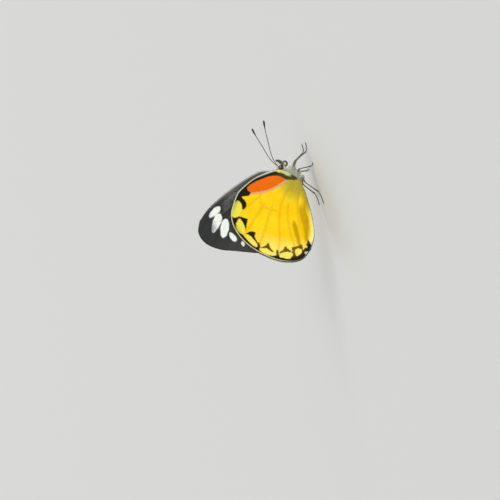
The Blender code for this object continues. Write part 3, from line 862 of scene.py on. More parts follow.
def hindwing_marked(finish, ground, spot, random):
    """The ground with the border, spots, red patch and ashy patches cut over it."""
    reach, bearing, edge = (finish.number(key) for key in ("reach", "bearing", "edge"))
    dark = finish.mix(finish.ramp(reach, 12, 4), BLACK, BASE_BLACK)
    inward = finish.times(finish.ramp(edge, 1.0, 2.4), finish.ramp(bearing, 60, 30))
    dark = finish.mix(inward, dark, BROWN_MARK)
    colour = ground
    for mark, over in (("black", dark), ("spot", spot), ("red", RED), ("ash", ASHY)):
        colour = finish.mix(cut(finish, finish.number(mark), random), colour, over)
    return colour


print("red patch as a socket value:", [round(v, 3) for v in rgba(RED)[:3]])

# %% [markdown]
# A pale line runs along the front edge, wider near the hinge, and a fine one along the outer margin,
# where the fringe starts. The inner face is the wing's white upper side, dark at the margin. Skin and
# hair share all these steps, and the hair is paler at its tips.

# %% Hindwing finish
CREAM, COSTAL_GREY, COSTAL_OLIVE = (212, 206, 148), (204, 206, 188), (206, 206, 148)
FRINGE, HINDWING_HAIR_TIP = (196, 194, 150), (232, 214, 96)
UPPER_WHITE, UPPER_DARK = (205, 212, 208), (60, 62, 62)
SCALE_SHADE, WING_HAIR_SHADE, FULL = (225, 225, 225), (196, 196, 190), (255, 255, 255)


def hindwing_edges(finish, colour, spot, random):
    reach, bearing, edge = (finish.number(key) for key in ("reach", "bearing", "edge"))
    wider = finish.times(finish.ramp(reach, 9.5, 4.5), finish.times(finish.noise(900), 1.6))
    costal = finish.ramp(finish.math("SUBTRACT", edge, wider), 0.8, 0.3)
    costal = finish.times(costal, finish.ramp(bearing, 104, 118), finish.ramp(reach, 2.4, 4.4))
    margin = finish.times(finish.ramp(edge, 0.42, 0.28), finish.ramp(bearing, 14, 34))
    line = finish.mix(finish.ramp(bearing, 74, 98), CREAM, COSTAL_GREY)
    line = finish.mix(finish.ramp(reach, 9.5, 6.5), line, COSTAL_OLIVE)
    colour = finish.mix(finish.math("MAXIMUM", costal, margin), colour, line)
    spot_over_line = finish.times(costal, cut(finish, finish.number("spot"), random))
    colour = finish.mix(spot_over_line, colour, spot)
    return finish.mix(finish.times(finish.ramp(edge, 0.16, 0.06), 0.6), colour, FRINGE)


def hair_tint(finish, colour, tip_colour):
    """Makes each tuft a little lighter or darker, and its tips paler."""
    shade = finish.mix(finish.number("shade"), WING_HAIR_SHADE, FULL)
    colour = finish.mix(1.0, colour, shade, "MULTIPLY")
    tip = finish.times(finish.ramp(finish.number("tip"), 0.3, 1.0), 0.3)
    return finish.mix(tip, colour, tip_colour)


def paint_hindwing(name, hairy=False):
    finish = Finish(name, 0.65, sheen=0.02, specular=0.05)
    random, overlap = (0.5, None) if hairy else scale_cells(finish)
    spot = hindwing_spot_colour(finish)
    colour = hindwing_marked(finish, hindwing_ground(finish), spot, random)
    colour = hindwing_edges(finish, colour, spot, random)
    inner = finish.mix(finish.ramp(finish.number("edge"), 2.4, 1.4), UPPER_WHITE, UPPER_DARK)
    colour = finish.mix(finish.number("inner_face"), colour, inner)
    if hairy:
        return finish.paint(hair_tint(finish, colour, HINDWING_HAIR_TIP))
    colour = finish.mix(1.0, colour, finish.mix(random, SCALE_SHADE, FULL), "MULTIPLY")
    return finish.paint(colour, overlap, strength=0.25)


hindwing_finish = paint_hindwing("hindwing_scales")
hindwing_hair_finish = paint_hindwing("hindwing_hair", hairy=True)
print("hindwing finish:", len(hindwing_finish.node_tree.nodes), "nodes")

# %% [markdown]
# Forewing, outer face: soft black, browner towards the inner edge, with white spots whose outer ends
# fade into the black. A pale line follows the front edge, and the inner face is white inside a wide
# dark tip.

# %% Forewing finish
APEX_BLACK, BROWN_BLACK, DUST, WHITE = (26, 29, 29), (52, 49, 46), (140, 142, 134), (244, 248, 240)
FRONT_LINE, FOREWING_HAIR_TIP = (168, 170, 158), (120, 122, 116)
DARK_SCALE_SHADE = (215, 215, 215)


def forewing_colour(finish, random):
    reach, bearing, edge = (finish.number(key) for key in ("reach", "bearing", "edge"))
    ground = finish.mix(finish.ramp(bearing, 66, 50), APEX_BLACK, BROWN_BLACK)
    speckle = finish.ramp(finish.math("ADD", random, finish.noise(900)), 0.8, 1.3)
    dusted = finish.times(finish.ramp(finish.number("dust"), 1.2, -1.6), speckle, 0.6)
    ground = finish.mix(dusted, ground, DUST)
    on_vein = finish.ramp(finish.number("vein"), 0.6, 0.1)
    ground = finish.mix(finish.times(on_vein, finish.ramp(reach, 34, 20), 0.2), ground, DUST)
    costal = finish.times(finish.ramp(edge, 0.7, 0.2), finish.ramp(bearing, 80, 92))
    ground = finish.mix(costal, ground, FRONT_LINE)
    fading = finish.times(finish.ramp(reach, 32.2, 36), finish.ramp(bearing, 66, 72), 0.8)
    spot = finish.mix(fading, WHITE, APEX_BLACK)
    return finish.mix(cut(finish, finish.number("spot"), random), ground, spot)


def paint_forewing(name, hairy=False):
    finish = Finish(name, 0.6, sheen=0.2)
    random, overlap = (0.5, None) if hairy else scale_cells(finish)
    colour = forewing_colour(finish, random)
    lean_back = finish.times(finish.number("bearing"), 0.02)
    tip = finish.ramp(finish.math("SUBTRACT", finish.number("reach"), lean_back), 23, 26)
    inner = finish.mix(tip, UPPER_WHITE, UPPER_DARK)
    colour = finish.mix(finish.number("inner_face"), colour, inner)
    if hairy:
        return finish.paint(hair_tint(finish, colour, FOREWING_HAIR_TIP))
    colour = finish.mix(1.0, colour, finish.mix(random, DARK_SCALE_SHADE, FULL), "MULTIPLY")
    return finish.paint(colour, overlap, strength=0.25)


forewing_finish = paint_forewing("forewing_scales")
forewing_hair_finish = paint_forewing("forewing_hair", hairy=True)
print("forewing finish:", len(forewing_finish.node_tree.nodes), "nodes")

# %% [markdown]
# Each wing now gets its finish and its place: it is fixed to the body, stands for the imported wing of
# the same name, and takes the finish of its kind.

# %% Wings in their places
for name, wing in wings.items():
    kind = name.split("_")[0]
    wing.data.materials.append(hindwing_finish if kind == "hindwing" else forewing_finish)
    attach(wing, "root")
    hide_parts(name)
    print(name, len(wing.data.polygons), "quads")

# %% [markdown]
# Two Geometry Nodes trees follow, so a small class holds what both need: a tree with named inputs, and
# short ways to read what is kept on a mesh and to reckon with numbers and vectors.

# %% Geometry Nodes helpers
def shown(sockets, name):
    """The socket of that name that a node's settings leave in use."""
    return next(socket for socket in sockets if socket.name == name and socket.enabled)


class Graph:
    """A Geometry Nodes tree with named inputs, one geometry in and one out."""

    def __init__(self, name, inputs):
        self.tree = bpy.data.node_groups.new(name, "GeometryNodeTree")
        self.tree.is_modifier = True
        sockets = {"Geometry": "Geometry"} | inputs
        for title, kind in sockets.items():
            self.tree.interface.new_socket(title, in_out="INPUT", socket_type="NodeSocket" + kind)
        self.tree.interface.new_socket("Geometry", in_out="OUTPUT", socket_type="NodeSocketGeometry")
        self.given = node(self.tree, "NodeGroupInput").outputs

    def add(self, kind, inputs, **settings):
        return node(self.tree, kind, inputs, **settings)

    def read(self, name, kind="FLOAT"):
        named = self.add("GeometryNodeInputNamedAttribute", {"Name": name}, data_type=kind)
        return shown(named.outputs, "Attribute")

    def scalar(self, operation, a, b=0.0):
        return self.add("ShaderNodeMath", {0: a, 1: b}, operation=operation).outputs[0]

    def vector(self, operation, a, b=(0, 0, 0), scale=1.0):
        sockets = {0: a, "Scale": scale} if operation == "SCALE" else {0: a, 1: b}
        return self.add("ShaderNodeVectorMath", sockets, operation=operation).outputs[0]

    def keep(self, geometry, name, value, kind, domain):
        """Stores a value on the geometry under a name."""
        sockets = {"Geometry": geometry, "Name": name}
        kept = self.add("GeometryNodeStoreNamedAttribute", sockets, data_type=kind, domain=domain)
        self.tree.links.new(value, shown(kept.inputs, "Value"))
        return kept.outputs[0]

    def done(self, geometry):
        """Gives the geometry its finish and sends it out."""
        sockets = {"Geometry": geometry, "Material": self.given["Finish"]}
        dressed = self.add("GeometryNodeSetMaterial", sockets)
        self.add("NodeGroupOutput", {"Geometry": dressed.outputs[0]})
        return self.tree


# %% [markdown]
# Hair, long scales and spines all grow the same way: points are scattered over a skin, and a small
# tuft is set on each one. Its direction is worked out first. The lie that is kept on the skin is laid
# along the surface, raised by the lean, and jittered a little, so no tuft dives under the skin.

# %% The direction of a tuft
def tuft_rotation(graph, outward):
    """Turns a tuft along the lie of the coat, with its flat side to the skin."""
    lean, lie = graph.read("lean"), graph.read("lie", "FLOAT_VECTOR")
    across = graph.vector("CROSS_PRODUCT", lie, outward)
    along_skin = graph.vector("NORMALIZE", graph.vector("CROSS_PRODUCT", outward, across))
    laid = graph.vector("SCALE", along_skin, scale=graph.scalar("COSINE", lean))
    stood = graph.vector("SCALE", outward, scale=graph.scalar("SINE", lean))
    most = graph.given["Unevenness"]
    spread = {0: graph.scalar("MULTIPLY", most, -1.0), 1: most, "Seed": 3}
    jitter = graph.add("FunctionNodeRandomValue", spread, data_type="FLOAT_VECTOR").outputs[0]
    towards = {"Vector": graph.vector("ADD", graph.vector("ADD", laid, stood), jitter)}
    upright = graph.add("FunctionNodeAlignRotationToVector", towards, axis="Z").outputs[0]
    faced = {"Rotation": upright, "Vector": outward}
    return graph.add("FunctionNodeAlignRotationToVector", faced, axis="X", pivot_axis="Z").outputs[0]


# %% [markdown]
# One tree then serves every skin. It reads what is kept on the skin: how thick the coat is there, how
# long, and the place on the skin's flat map, so that a bake gives each tuft a patch of its own at its
# root.

# %% The tuft tree
TUFT_PATCH = 0.003  # width of one tuft on the flat map
SHORTEST, LONGEST = 0.65, 1.2  # shares of the coat's length
TUFT_INPUTS = {
    "Coat": "String", "Tufts per square metre": "Float", "Seed": "Int", "Thickness": "Float",
    "Unevenness": "Float", "Tuft": "Object", "Finish": "Material",
}


def tuft_tree():
    graph = Graph("tufts_on_a_skin", TUFT_INPUTS)
    given = graph.given
    dense = graph.scalar("MULTIPLY", graph.read(given["Coat"]), given["Tufts per square metre"])
    spread = {"Mesh": given["Geometry"], "Density": dense, "Seed": given["Seed"]}
    scattered = graph.add("GeometryNodeDistributePointsOnFaces", spread, distribute_method="RANDOM")
    turned = tuft_rotation(graph, scattered.outputs["Normal"])
    between = {2: SHORTEST, 3: LONGEST, "Seed": 5}
    vary = graph.add("FunctionNodeRandomValue", between, data_type="FLOAT").outputs[1]
    size = {
        "X": given["Thickness"], "Y": given["Thickness"],
        "Z": graph.scalar("MULTIPLY", graph.read("hair"), vary),
    }
    tuft = graph.add("GeometryNodeObjectInfo", {"Object": given["Tuft"]}).outputs["Geometry"]
    placed = {
        "Points": scattered.outputs["Points"], "Instance": tuft, "Rotation": turned,
        "Scale": graph.add("ShaderNodeCombineXYZ", size).outputs[0],
    }
    standing = graph.add("GeometryNodeInstanceOnPoints", placed).outputs["Instances"]
    chance = graph.add("FunctionNodeRandomValue", {"Seed": 9}, data_type="FLOAT").outputs[1]
    shaded = graph.keep(standing, "shade", chance, "FLOAT", "INSTANCE")
    real = graph.add("GeometryNodeRealizeInstances", {"Geometry": shaded}).outputs[0]
    patch = graph.vector("SCALE", graph.read("patch", "FLOAT_VECTOR"), scale=TUFT_PATCH)
    on_map = graph.vector("ADD", graph.read("root_map", "FLOAT_VECTOR"), patch)
    return graph.done(graph.keep(real, "OFBake", on_map, "FLOAT2", "CORNER"))


TUFTS = tuft_tree()
print("tuft tree:", len(TUFTS.nodes), "nodes")

# %% [markdown]
# A tuft is a few thin three-sided strands that leave one root and bend apart. Its length is one, so the
# tree can stretch it to the coat's length. Each face has its own small area on the tuft's patch of the
# map, and "tip" says how far along the strand a point is.

# %% Tufts
STRAND_RINGS = ((0.0, 1.0), (0.55, 0.8))  # share of the length, and of the thickness
FACES_PER_STRAND = 7


def strand_faces(start, left, right):
    """Corners of one strand's faces, and the corners of their areas on the patch."""
    faces = [(start + 2, start + 1, start)]
    patches = [(left, 0.0), (right, 0.0), (left, 0.08)]
    for side in range(3):
        after = (side + 1) % 3
        u0, u1 = left + (right - left) * side / 3, left + (right - left) * (side + 0.9) / 3
        faces.append((start + side, start + after, start + 3 + after, start + 3 + side))
        patches += [(u0, 0.1), (u1, 0.1), (u1, 0.55), (u0, 0.55)]
        faces.append((start + 3 + side, start + 3 + after, start + 6))
        patches += [(u0, 0.56), (u1, 0.56), ((u0 + u1) / 2, 1.0)]
    return faces, patches


def tuft_mesh(name, strands, spread, thick, curl, flat=1.0):
    """A tuft of strands about one millimetre long. Thickness and spread are in millimetres too."""
    rng = np.random.default_rng(strands * 31)
    verts, faces, tips, patches = [], [], [], []
    for strand in range(strands):
        bearing = 2 * np.pi * (strand + rng.uniform(-0.2, 0.2)) / strands
        out = np.array((np.cos(bearing), np.sin(bearing)))
        some, areas = strand_faces(len(verts), strand / strands, (strand + 0.9) / strands)
        faces += some
        patches += areas
        length = rng.uniform(0.75, 1.0)
        for share, size in STRAND_RINGS:
            middle = out * spread * (0.35 + share) + np.array((curl * share**2, 0))
            for corner in range(3):
                turn = bearing + corner * 2 * np.pi / 3
                x, y = middle + thick * size * np.array((np.cos(turn), flat * np.sin(turn)))
                verts.append((x * MM, y * MM, share * length * MM))
                tips.append(share)
        x, y = out * spread * 1.5 + np.array((curl, 0))
        verts.append((x * MM, y * MM, length * MM))
        tips.append(1.0)
    mesh = mesh_from(name, verts, faces)
    store(mesh, "tip", tips)
    layer = mesh.attributes.new("patch", "FLOAT_VECTOR", "CORNER")
    layer.data.foreach_set("vector", np.array([(u, v, 0) for u, v in patches], np.float32).ravel())
    return mesh


SOFT_HAIR = tuft_mesh("soft_hair", 4, 0.07, 0.022, 0.10)
SHORT_SCALES = tuft_mesh("short_scales", 3, 0.06, 0.045, 0.03, 0.4)
FRINGE_HAIR = tuft_mesh("fringe_hair", 3, 0.04, 0.026, 0.0, 0.6)
SPINE = tuft_mesh("spine", 1, 0.0, 0.035, 0.0)
print("strands of a soft tuft:", len(SOFT_HAIR.polygons) // FACES_PER_STRAND)

# %% [markdown]
# A tree runs as a modifier on a carrier, and its evaluated result becomes a plain mesh.

# %% Running a tree
def evaluated_mesh(obj):
    bpy.context.view_layer.update()
    graph = bpy.context.evaluated_depsgraph_get()
    return bpy.data.meshes.new_from_object(obj.evaluated_get(graph), depsgraph=graph)


def run_tree(tree, carrier, values):
    """Runs a Geometry Nodes tree on an object and returns the result as a plain mesh."""
    modifier = carrier.modifiers.new(tree.name, "NODES")
    modifier.node_group = tree
    for item in tree.interface.items_tree:
        if item.item_type == "SOCKET" and item.in_out == "INPUT" and item.name in values:
            modifier[item.identifier] = values[item.name]
    mesh = evaluated_mesh(carrier)
    carrier.modifiers.clear()
    return mesh


# %% [markdown]
# To grow a coat, the skin and one tuft stand in the scene for a moment. The attributes that only the
# tree needed are removed from the coat afterwards. Every piece of the model is then fixed to the body
# by one short function.

# %% Growing a coat
NEEDED_TO_GROW = ("lie", "lean", "hair", "root_map", "patch", "weave")
PER_SQUARE_MM = 1e6  # one per square millimetre, counted per square metre


def forget(mesh, names):
    """Removes what was kept on a mesh under these names."""
    for name in names:
        if name in mesh.attributes:
            mesh.attributes.remove(mesh.attributes[name])


def grow(skin_mesh, name, coat, tuft, finish, per_square_mm, seed, thickness=1.0, unevenness=0.22):
    """Covers a skin with tufts where the coat attribute is above zero."""
    carrier = link_object(name + "_carrier", skin_mesh)
    template = link_object(name + "_tuft", tuft)
    values = {
        "Coat": coat, "Tufts per square metre": per_square_mm * PER_SQUARE_MM, "Seed": seed,
        "Thickness": thickness, "Unevenness": unevenness, "Tuft": template, "Finish": finish,
    }
    mesh = run_tree(TUFTS, carrier, values)
    bpy.data.objects.remove(carrier)
    bpy.data.objects.remove(template)
    forget(mesh, NEEDED_TO_GROW)
    mesh.shade_smooth()
    print(name, sum(len(face.vertices) - 2 for face in mesh.polygons), "triangles")
    return link_object(name, mesh)


def show(piece, slot, *nodes):
    """Fixes a piece to the body and hides the nodes it stands for; its slot is not used."""
    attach(piece, "root")
    if nodes:
        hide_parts(*nodes)


print("needed only while a coat grows:", ", ".join(NEEDED_TO_GROW))

# %% [markdown]
# The wings are hairy only near the body, with a short fringe along every free edge. The hair takes the
# wing's own marks, so it is olive at the base and cream or black at the margin. Where forewing and
# hindwing lie against each other it stays short and flat, or it would show through the other wing.

# %% Wing hair and fringes
WING_HAIR = {"hindwing": (1.25, 9.5, 0.42), "forewing": (1.0, 7.0, 0.36)}  # length, reach, fringe
WING_HAIR_LEAN = math.radians(20)
WING_TUFTS_PER_MM2 = 26


def kept_on(mesh, key):
    values = np.empty(len(mesh.vertices), np.float32)
    mesh.attributes[key].data.foreach_get("value", values)
    return values


def add_wing_hair(name, kind, mesh, finish):
    long_hair, fades, fringe = WING_HAIR[kind]
    reach, edge, bearing = (kept_on(mesh, key) for key in ("reach", "edge", "bearing"))
    base = smooth((fades - reach) / (0.5 * fades))
    rim = smooth((0.24 - edge) / 0.14)
    fold = 0.35 * smooth((2.2 - edge) / 1.6) * smooth((4 - bearing) / 6) * (kind == "hindwing")
    inner = kept_on(mesh, "inner_face")
    covered = inner if kind == "hindwing" else 1 - inner
    coat = np.maximum(np.maximum(base * (0.8 - 0.5 * covered), fold), rim)
    length = long_hair * (0.35 + 0.65 * base) * (1 - 0.6 * covered) * (base > 0)
    flatter = (1 - 0.8 * rim) * (1 - 0.8 * covered)
    lean = WING_HAIR_LEAN * np.maximum(base > 0, 0.6 * smooth(fold * 4)) * flatter
    store(mesh, "coat", coat)
    store(mesh, "hair", np.maximum(length, fringe))
    store(mesh, "lean", lean)
    hair = grow(mesh, name + "_hair", "coat", FRINGE_HAIR, finish, WING_TUFTS_PER_MM2, 11, 1.0, 0.16)
    forget(mesh, ("coat", "hair", "lean", "lie", "root_map"))
    show(hair, kind)


for name, wing in wings.items():
    kind = name.split("_")[0]
    finish = hindwing_hair_finish if kind == "hindwing" else forewing_hair_finish
    add_wing_hair(name, kind, wing.data, finish)

# %% [markdown]
# Legs, feelers, palps, tongue and abdomen are all tubes whose thickness changes along a path, so one
# loft makes them: a ring of points at each place of the path, joined to the next and closed at the
# ends. The rings turn as little as they can from one place to the next.

# %% Lofted tubes
def directions(path):
    """The unit direction of a path at each of its places."""
    run = np.gradient(np.asarray(path, float), axis=0)
    return run / np.linalg.norm(run, axis=1)[:, None]


def ring_axes(run):
    """Two axes across the path at each place."""
    side = np.cross(run[0], (0, 0, 1) if abs(run[0][2]) < 0.9 else (1, 0, 0))
    sides = []
    for direction in run:
        side = side - direction * (side @ direction)
        side = side / np.linalg.norm(side)
        sides.append(side)
    return np.array(sides), np.cross(run, sides)


def loft(path, radii, sides=12):
    """A closed tube. Radii are one for each place, or one for each place and side."""
    path = np.asarray(path, float)
    side, up = ring_axes(directions(path))
    angle = np.arange(sides) * 2 * np.pi / sides
    radii = np.asarray(radii, float).reshape(len(path), -1)
    radii = np.broadcast_to(radii, (len(path), sides))[..., None]
    ring = side[:, None] * np.cos(angle)[:, None] + up[:, None] * np.sin(angle)[:, None]
    verts = np.vstack(((path[:, None] + radii * ring).reshape(-1, 3), path[:1], path[-1:]))
    grid = np.arange(len(path) * sides).reshape(len(path), sides)
    after = np.roll(grid, -1, axis=1)
    quads = np.stack((grid[:-1], after[:-1], after[1:], grid[1:]), -1).reshape(-1, 4)
    first, last = len(path) * sides, len(path) * sides + 1
    caps = [(first, b, a) for a, b in zip(grid[0], after[0])]
    caps += [(last, a, b) for a, b in zip(grid[-1], after[-1])]
    return verts, [tuple(quad) for quad in quads] + caps


test_tube = loft(((0, 0, 0), (0, 0, 1), (0, 0, 2)), (1, 1, 1))
print("a tube of two stretches:", len(test_tube[0]), "vertices,", len(test_tube[1]), "faces")

# %% [markdown]
# Several tubes often make one mesh, so their corners are numbered on.

# %% Pieces made of tubes
def joined(parts):
    """Several (verts, faces) pairs as one pair."""
    verts, faces, start = [], [], 0
    for some, corners in parts:
        verts.append(some)
        faces += [tuple(c + start for c in face) for face in corners]
        start += len(some)
    return np.vstack(verts), faces


def lofted_piece(name, parts, finish, fields=None):
    verts, faces = joined(parts)
    mesh = mesh_from(name, metres(verts), faces)
    for key, values in (fields or {}).items():
        store(mesh, key, values)
    mesh.materials.append(finish)
    return link_object(name, mesh)


print("two tubes joined:", len(joined([test_tube, test_tube])[0]), "vertices")

# %% [markdown]
# The body is one skin, so that head, thorax and abdomen meet without a seam. It starts as overlapping
# eggs for head and thorax. They lie inside the solids by about the depth of the coat.

# %% Eggs of head and thorax
THORAX_PITCH, HEAD_PITCH = math.radians(33), math.radians(15)
HEAD_CENTRE = np.array((4.3, 0.0, 2.8))
HEAD_RADII = (1.35, 1.15, 1.4)
LEG_ROOTS = ((3.0, 0.85, -1.3), (1.3, 1.0, -2.9), (-0.9, 0.95, -3.6))
THORAX_COAT_DEPTH, HEAD_COAT_DEPTH, ABDOMEN_COAT_DEPTH = 0.45, 0.22, 0.12


def along_thorax(forward, up, out=0.0):
    cos, sin = math.cos(THORAX_PITCH), math.sin(THORAX_PITCH)
    return (forward * cos - up * sin, out, forward * sin + up * cos)


def body_balls():
    """Middle, radii and pitch of each egg that the body is fused from."""
    deep, fine = THORAX_COAT_DEPTH, HEAD_COAT_DEPTH
    balls = [
        ((0, 0, 0), (4.1 - deep, 2.2 - deep, 2.85 - deep), THORAX_PITCH),
        (along_thorax(3.5, 0.1), (1.1 - fine, 1.2 - fine, 1.45 - fine), THORAX_PITCH),
        (along_thorax(-1.0, 2.3), (1.7 - deep, 1.0 - fine, 0.9 - fine), THORAX_PITCH),
        (HEAD_CENTRE, [r - fine for r in HEAD_RADII], HEAD_PITCH),
        (HEAD_CENTRE + (0.72, 0, -0.18), (0.66, 0.62, 0.82), HEAD_PITCH),
        (HEAD_CENTRE + (-0.7, 0, -0.42), (0.8, 0.7, 0.8), HEAD_PITCH),
        (HEAD_CENTRE + (0.78, 0, -0.85), (0.42, 0.34, 0.42), 0),
    ]
    for x, y, z in LEG_ROOTS:
        balls += [((x, side * y * 0.85, z + 0.75), (0.6, 0.48, 1.05), 0) for side in (RIGHT, LEFT)]
    return balls


print("eggs of the body:", len(body_balls()))

# %% [markdown]
# The abdomen is a soft spindle of eight rings, lofted as one tube that is pinched at each joint.

# %% The ringed abdomen
ABDOMEN_RADIUS, ABDOMEN_RINGS, RING_DEPTH = 1.5, 8, 0.12
ABDOMEN_PLACES, ABDOMEN_SIDES = 161, 32


def ring_radius(share):
    """The abdomen's radius at a share of its length."""
    spindle = math.sin(math.pi * min(0.16 + 0.66 * share, 1.0)) ** 0.55
    tail = 1 - float(smooth((share - 0.84) / 0.16)) * 0.62
    from_joint = abs((share * ABDOMEN_RINGS + 0.5) % 1.0 - 0.5)
    pinch = RING_DEPTH * math.exp(-((from_joint / 0.09) ** 2))
    return ABDOMEN_RADIUS * spindle * tail - ABDOMEN_COAT_DEPTH - pinch


def abdomen_tube():
    shares = np.linspace(0, 1, ABDOMEN_PLACES)
    (x0, z0), (x1, z1) = ABDOMEN_START, ABDOMEN_END
    path = [(x0 + (x1 - x0) * s, 0, z0 + (z1 - z0) * s) for s in shares]
    return mesh_from("abdomen_tube", *loft(path, [ring_radius(s) for s in shares], ABDOMEN_SIDES))


print("abdomen's radius in its middle:", round(ring_radius(0.5), 2), "mm")

# %% [markdown]
# Eggs and abdomen are fused by a voxel remesh and smoothed. The work is done in millimetres, because
# the smallest step of the remesh is fixed.

# %% Body skin
VOXEL = 0.09


def body_mesh():
    bm = bmesh.new()
    for centre, radii, pitch in body_balls():
        place = Matrix.Translation(Vector(centre)) @ Matrix.Rotation(-pitch, 4, "Y")
        place = place @ Matrix.Diagonal((*radii, 1)) @ Matrix.Rotation(math.pi / 2, 4, "Y")
        bmesh.ops.create_uvsphere(bm, u_segments=40, v_segments=28, radius=1, matrix=place)
    bm.from_mesh(abdomen_tube())
    rough = bpy.data.meshes.new("body_rough")
    bm.to_mesh(rough)
    bm.free()
    carrier = link_object("body_rough", rough)
    remesh = carrier.modifiers.new("fuse", "REMESH")
    remesh.mode, remesh.voxel_size = "VOXEL", VOXEL
    soften = carrier.modifiers.new("soften", "SMOOTH")
    soften.factor, soften.iterations = 0.5, 5
    mesh = evaluated_mesh(carrier)
    bpy.data.objects.remove(carrier)
    return mesh


body = body_mesh()
body.name = "body_skin"
print("body skin", len(body.polygons), "quads")

# %% [markdown]
# The coat changes along the body, so each place on the skin has a share in head, thorax and abdomen.
# Within them, the crown and the breast have hair of their own.

# %% Regions of the skin
BEHIND_THORAX = -2.9  # where the abdomen starts to take over

places = np.empty(len(body.vertices) * 3)
body.vertices.foreach_get("co", places)
places = places.reshape(-1, 3)
x, y, z = places.T
forward = x * math.cos(THORAX_PITCH) + z * math.sin(THORAX_PITCH)
up = z * math.cos(THORAX_PITCH) - x * math.sin(THORAX_PITCH)
on_head = smooth((1.42 - np.linalg.norm((places - HEAD_CENTRE) / HEAD_RADII, axis=1)) / 0.3)
on_abdomen = smooth(BEHIND_THORAX - x)
on_thorax = np.clip(1 - on_head - on_abdomen, 0, 1)
crown = smooth((z - HEAD_CENTRE[2] - 0.3) / 0.7) * on_head
breast = smooth((forward - 0.5) / 2.5) * smooth((1.0 - up) / 2.0) * on_thorax
print("skin shares:", *(round(float(part.mean()), 2) for part in (on_head, on_thorax, on_abdomen)))

# %% [markdown]
# Long soft hair covers the thorax and flows back and down, the head has shorter hair that lies forward
# over the face and up on the crown, and the abdomen has short flat scales. Length, lie and lean are
# kept on the skin.

# %% Lie of the coat on the body
HAIR_LENGTHS = {"thorax": 1.15, "breast": 0.6, "head": 0.66, "crown": 0.5, "abdomen": 0.42}
HAIR_LEANS = {"thorax": 21, "head": 32, "crown": 26, "abdomen": 11}
SHARES = {
    "thorax": on_thorax, "breast": breast, "head": on_head, "crown": crown, "abdomen": on_abdomen,
}


def mixed(share, first, second):
    return first + (np.asarray(second) - first) * np.asarray(share)[:, None]


def summed(values):
    """Each region's value, weighted by its share at every place."""
    return sum(SHARES[region] * value for region, value in values.items())


thorax_lie = mixed(smooth((0.8 - up) / 2.5), np.array((-1.0, 0.0, -0.1)), (-0.45, 0.0, -0.9))
head_lie = mixed(crown, np.array((0.7, 0.0, -0.55)), (0.75, 0.0, 0.5))
lie = mixed(on_head, mixed(on_abdomen, thorax_lie, (-1.0, 0.0, 0.0)), head_lie)
back = smooth((up - 0.3) / 1.6) * on_thorax + smooth((z + 1.2) / 0.8) * on_abdomen
store(body, "lie", lie)
store(body, "hair", summed(HAIR_LENGTHS))
store(body, "lean", np.radians(summed(HAIR_LEANS)))
store(body, "on_head", on_head)
store(body, "on_abdomen", on_abdomen)
store(body, "on_thorax", on_thorax)
store(body, "back", back)
print("longest hair", round(float(summed(HAIR_LENGTHS).max()), 2), "mm")

# %% [markdown]
# The skin's flat map is unrolled round the body's own axis, one strip each for head, thorax and
# abdomen. Faces that cross the line where a strip closes, along the belly, are kept whole by carrying
# them past the end of it.

# %% The body's flat map
ABDOMEN_STRIP, THORAX_STRIP, HEAD_STRIP = 0, 1, 2
STRIP_ENDS = np.array(((-18.5, -2.4), (-4.5, 5.0), (2.6, 6.2)))  # along x, for each strip
ABDOMEN_AXIS_HEIGHT = -1.4


def unroll(mesh, places):
    """Stores each corner's place on the map, as shares of the way along and round the body."""
    x, y, z = places.T
    head, tail = on_head > 0.5, on_abdomen > 0.5
    thorax_height = x * math.tan(THORAX_PITCH) * 0.7
    height = np.where(head, HEAD_CENTRE[2], np.where(tail, ABDOMEN_AXIS_HEIGHT, thorax_height))
    turn = np.arctan2(y, z - height) / (2 * np.pi) + 0.5
    strip = np.where(head, HEAD_STRIP, np.where(tail, ABDOMEN_STRIP, THORAX_STRIP))
    ends = STRIP_ENDS[strip]
    along = np.clip((x - ends[:, 0]) / (ends[:, 1] - ends[:, 0]), 0, 1)
    corners = np.empty(len(mesh.loops), np.int32)
    mesh.loops.foreach_get("vertex_index", corners)
    starts, totals = np.empty((2, len(mesh.polygons)), np.int32)
    mesh.polygons.foreach_get("loop_start", starts)
    mesh.polygons.foreach_get("loop_total", totals)
    face_of = np.repeat(np.arange(len(starts)), totals)
    around, row = turn[corners], strip[corners[starts]][face_of]
    low = np.minimum.reduceat(around, starts)[face_of]
    high = np.maximum.reduceat(around, starts)[face_of]
    around = np.where((high - low > 0.5) & (around < 0.5), around + 1, around)
    u, v = 0.02 + along[corners] * 0.94, 0.01 + row * 0.33 + around * 0.29
    flat = np.stack((u, v, np.zeros(len(corners))), 1)
    layer = mesh.attributes.new("root_map", "FLOAT_VECTOR", "CORNER")
    layer.data.foreach_set("vector", flat.astype(np.float32).ravel())


unroll(body, places)
body.transform(Matrix.Translation(Vector(THORAX_PLACE * MM)) @ Matrix.Scale(MM, 4))
print("corners on the map:", len(body.loops))

# %% [markdown]
# The hair is pale grey-green below and darker on the back. The skin and its hair are painted by the
# same steps, and the hair is lighter towards its tips and a little different from tuft to tuft.

# %% Body finish
HAIR_PALE, HAIR_GREEN, HAIR_SLATE = (253, 254, 232), (236, 244, 208), (224, 230, 208)
HAIR_HEAD, HAIR_SHADE, BODY_HAIR_TIP = (253, 254, 236), (226, 226, 220), (250, 253, 240)
SCALE_CREAM, SCALE_GREY, CUTICLE = (236, 234, 208), (128, 130, 124), (150, 152, 130)


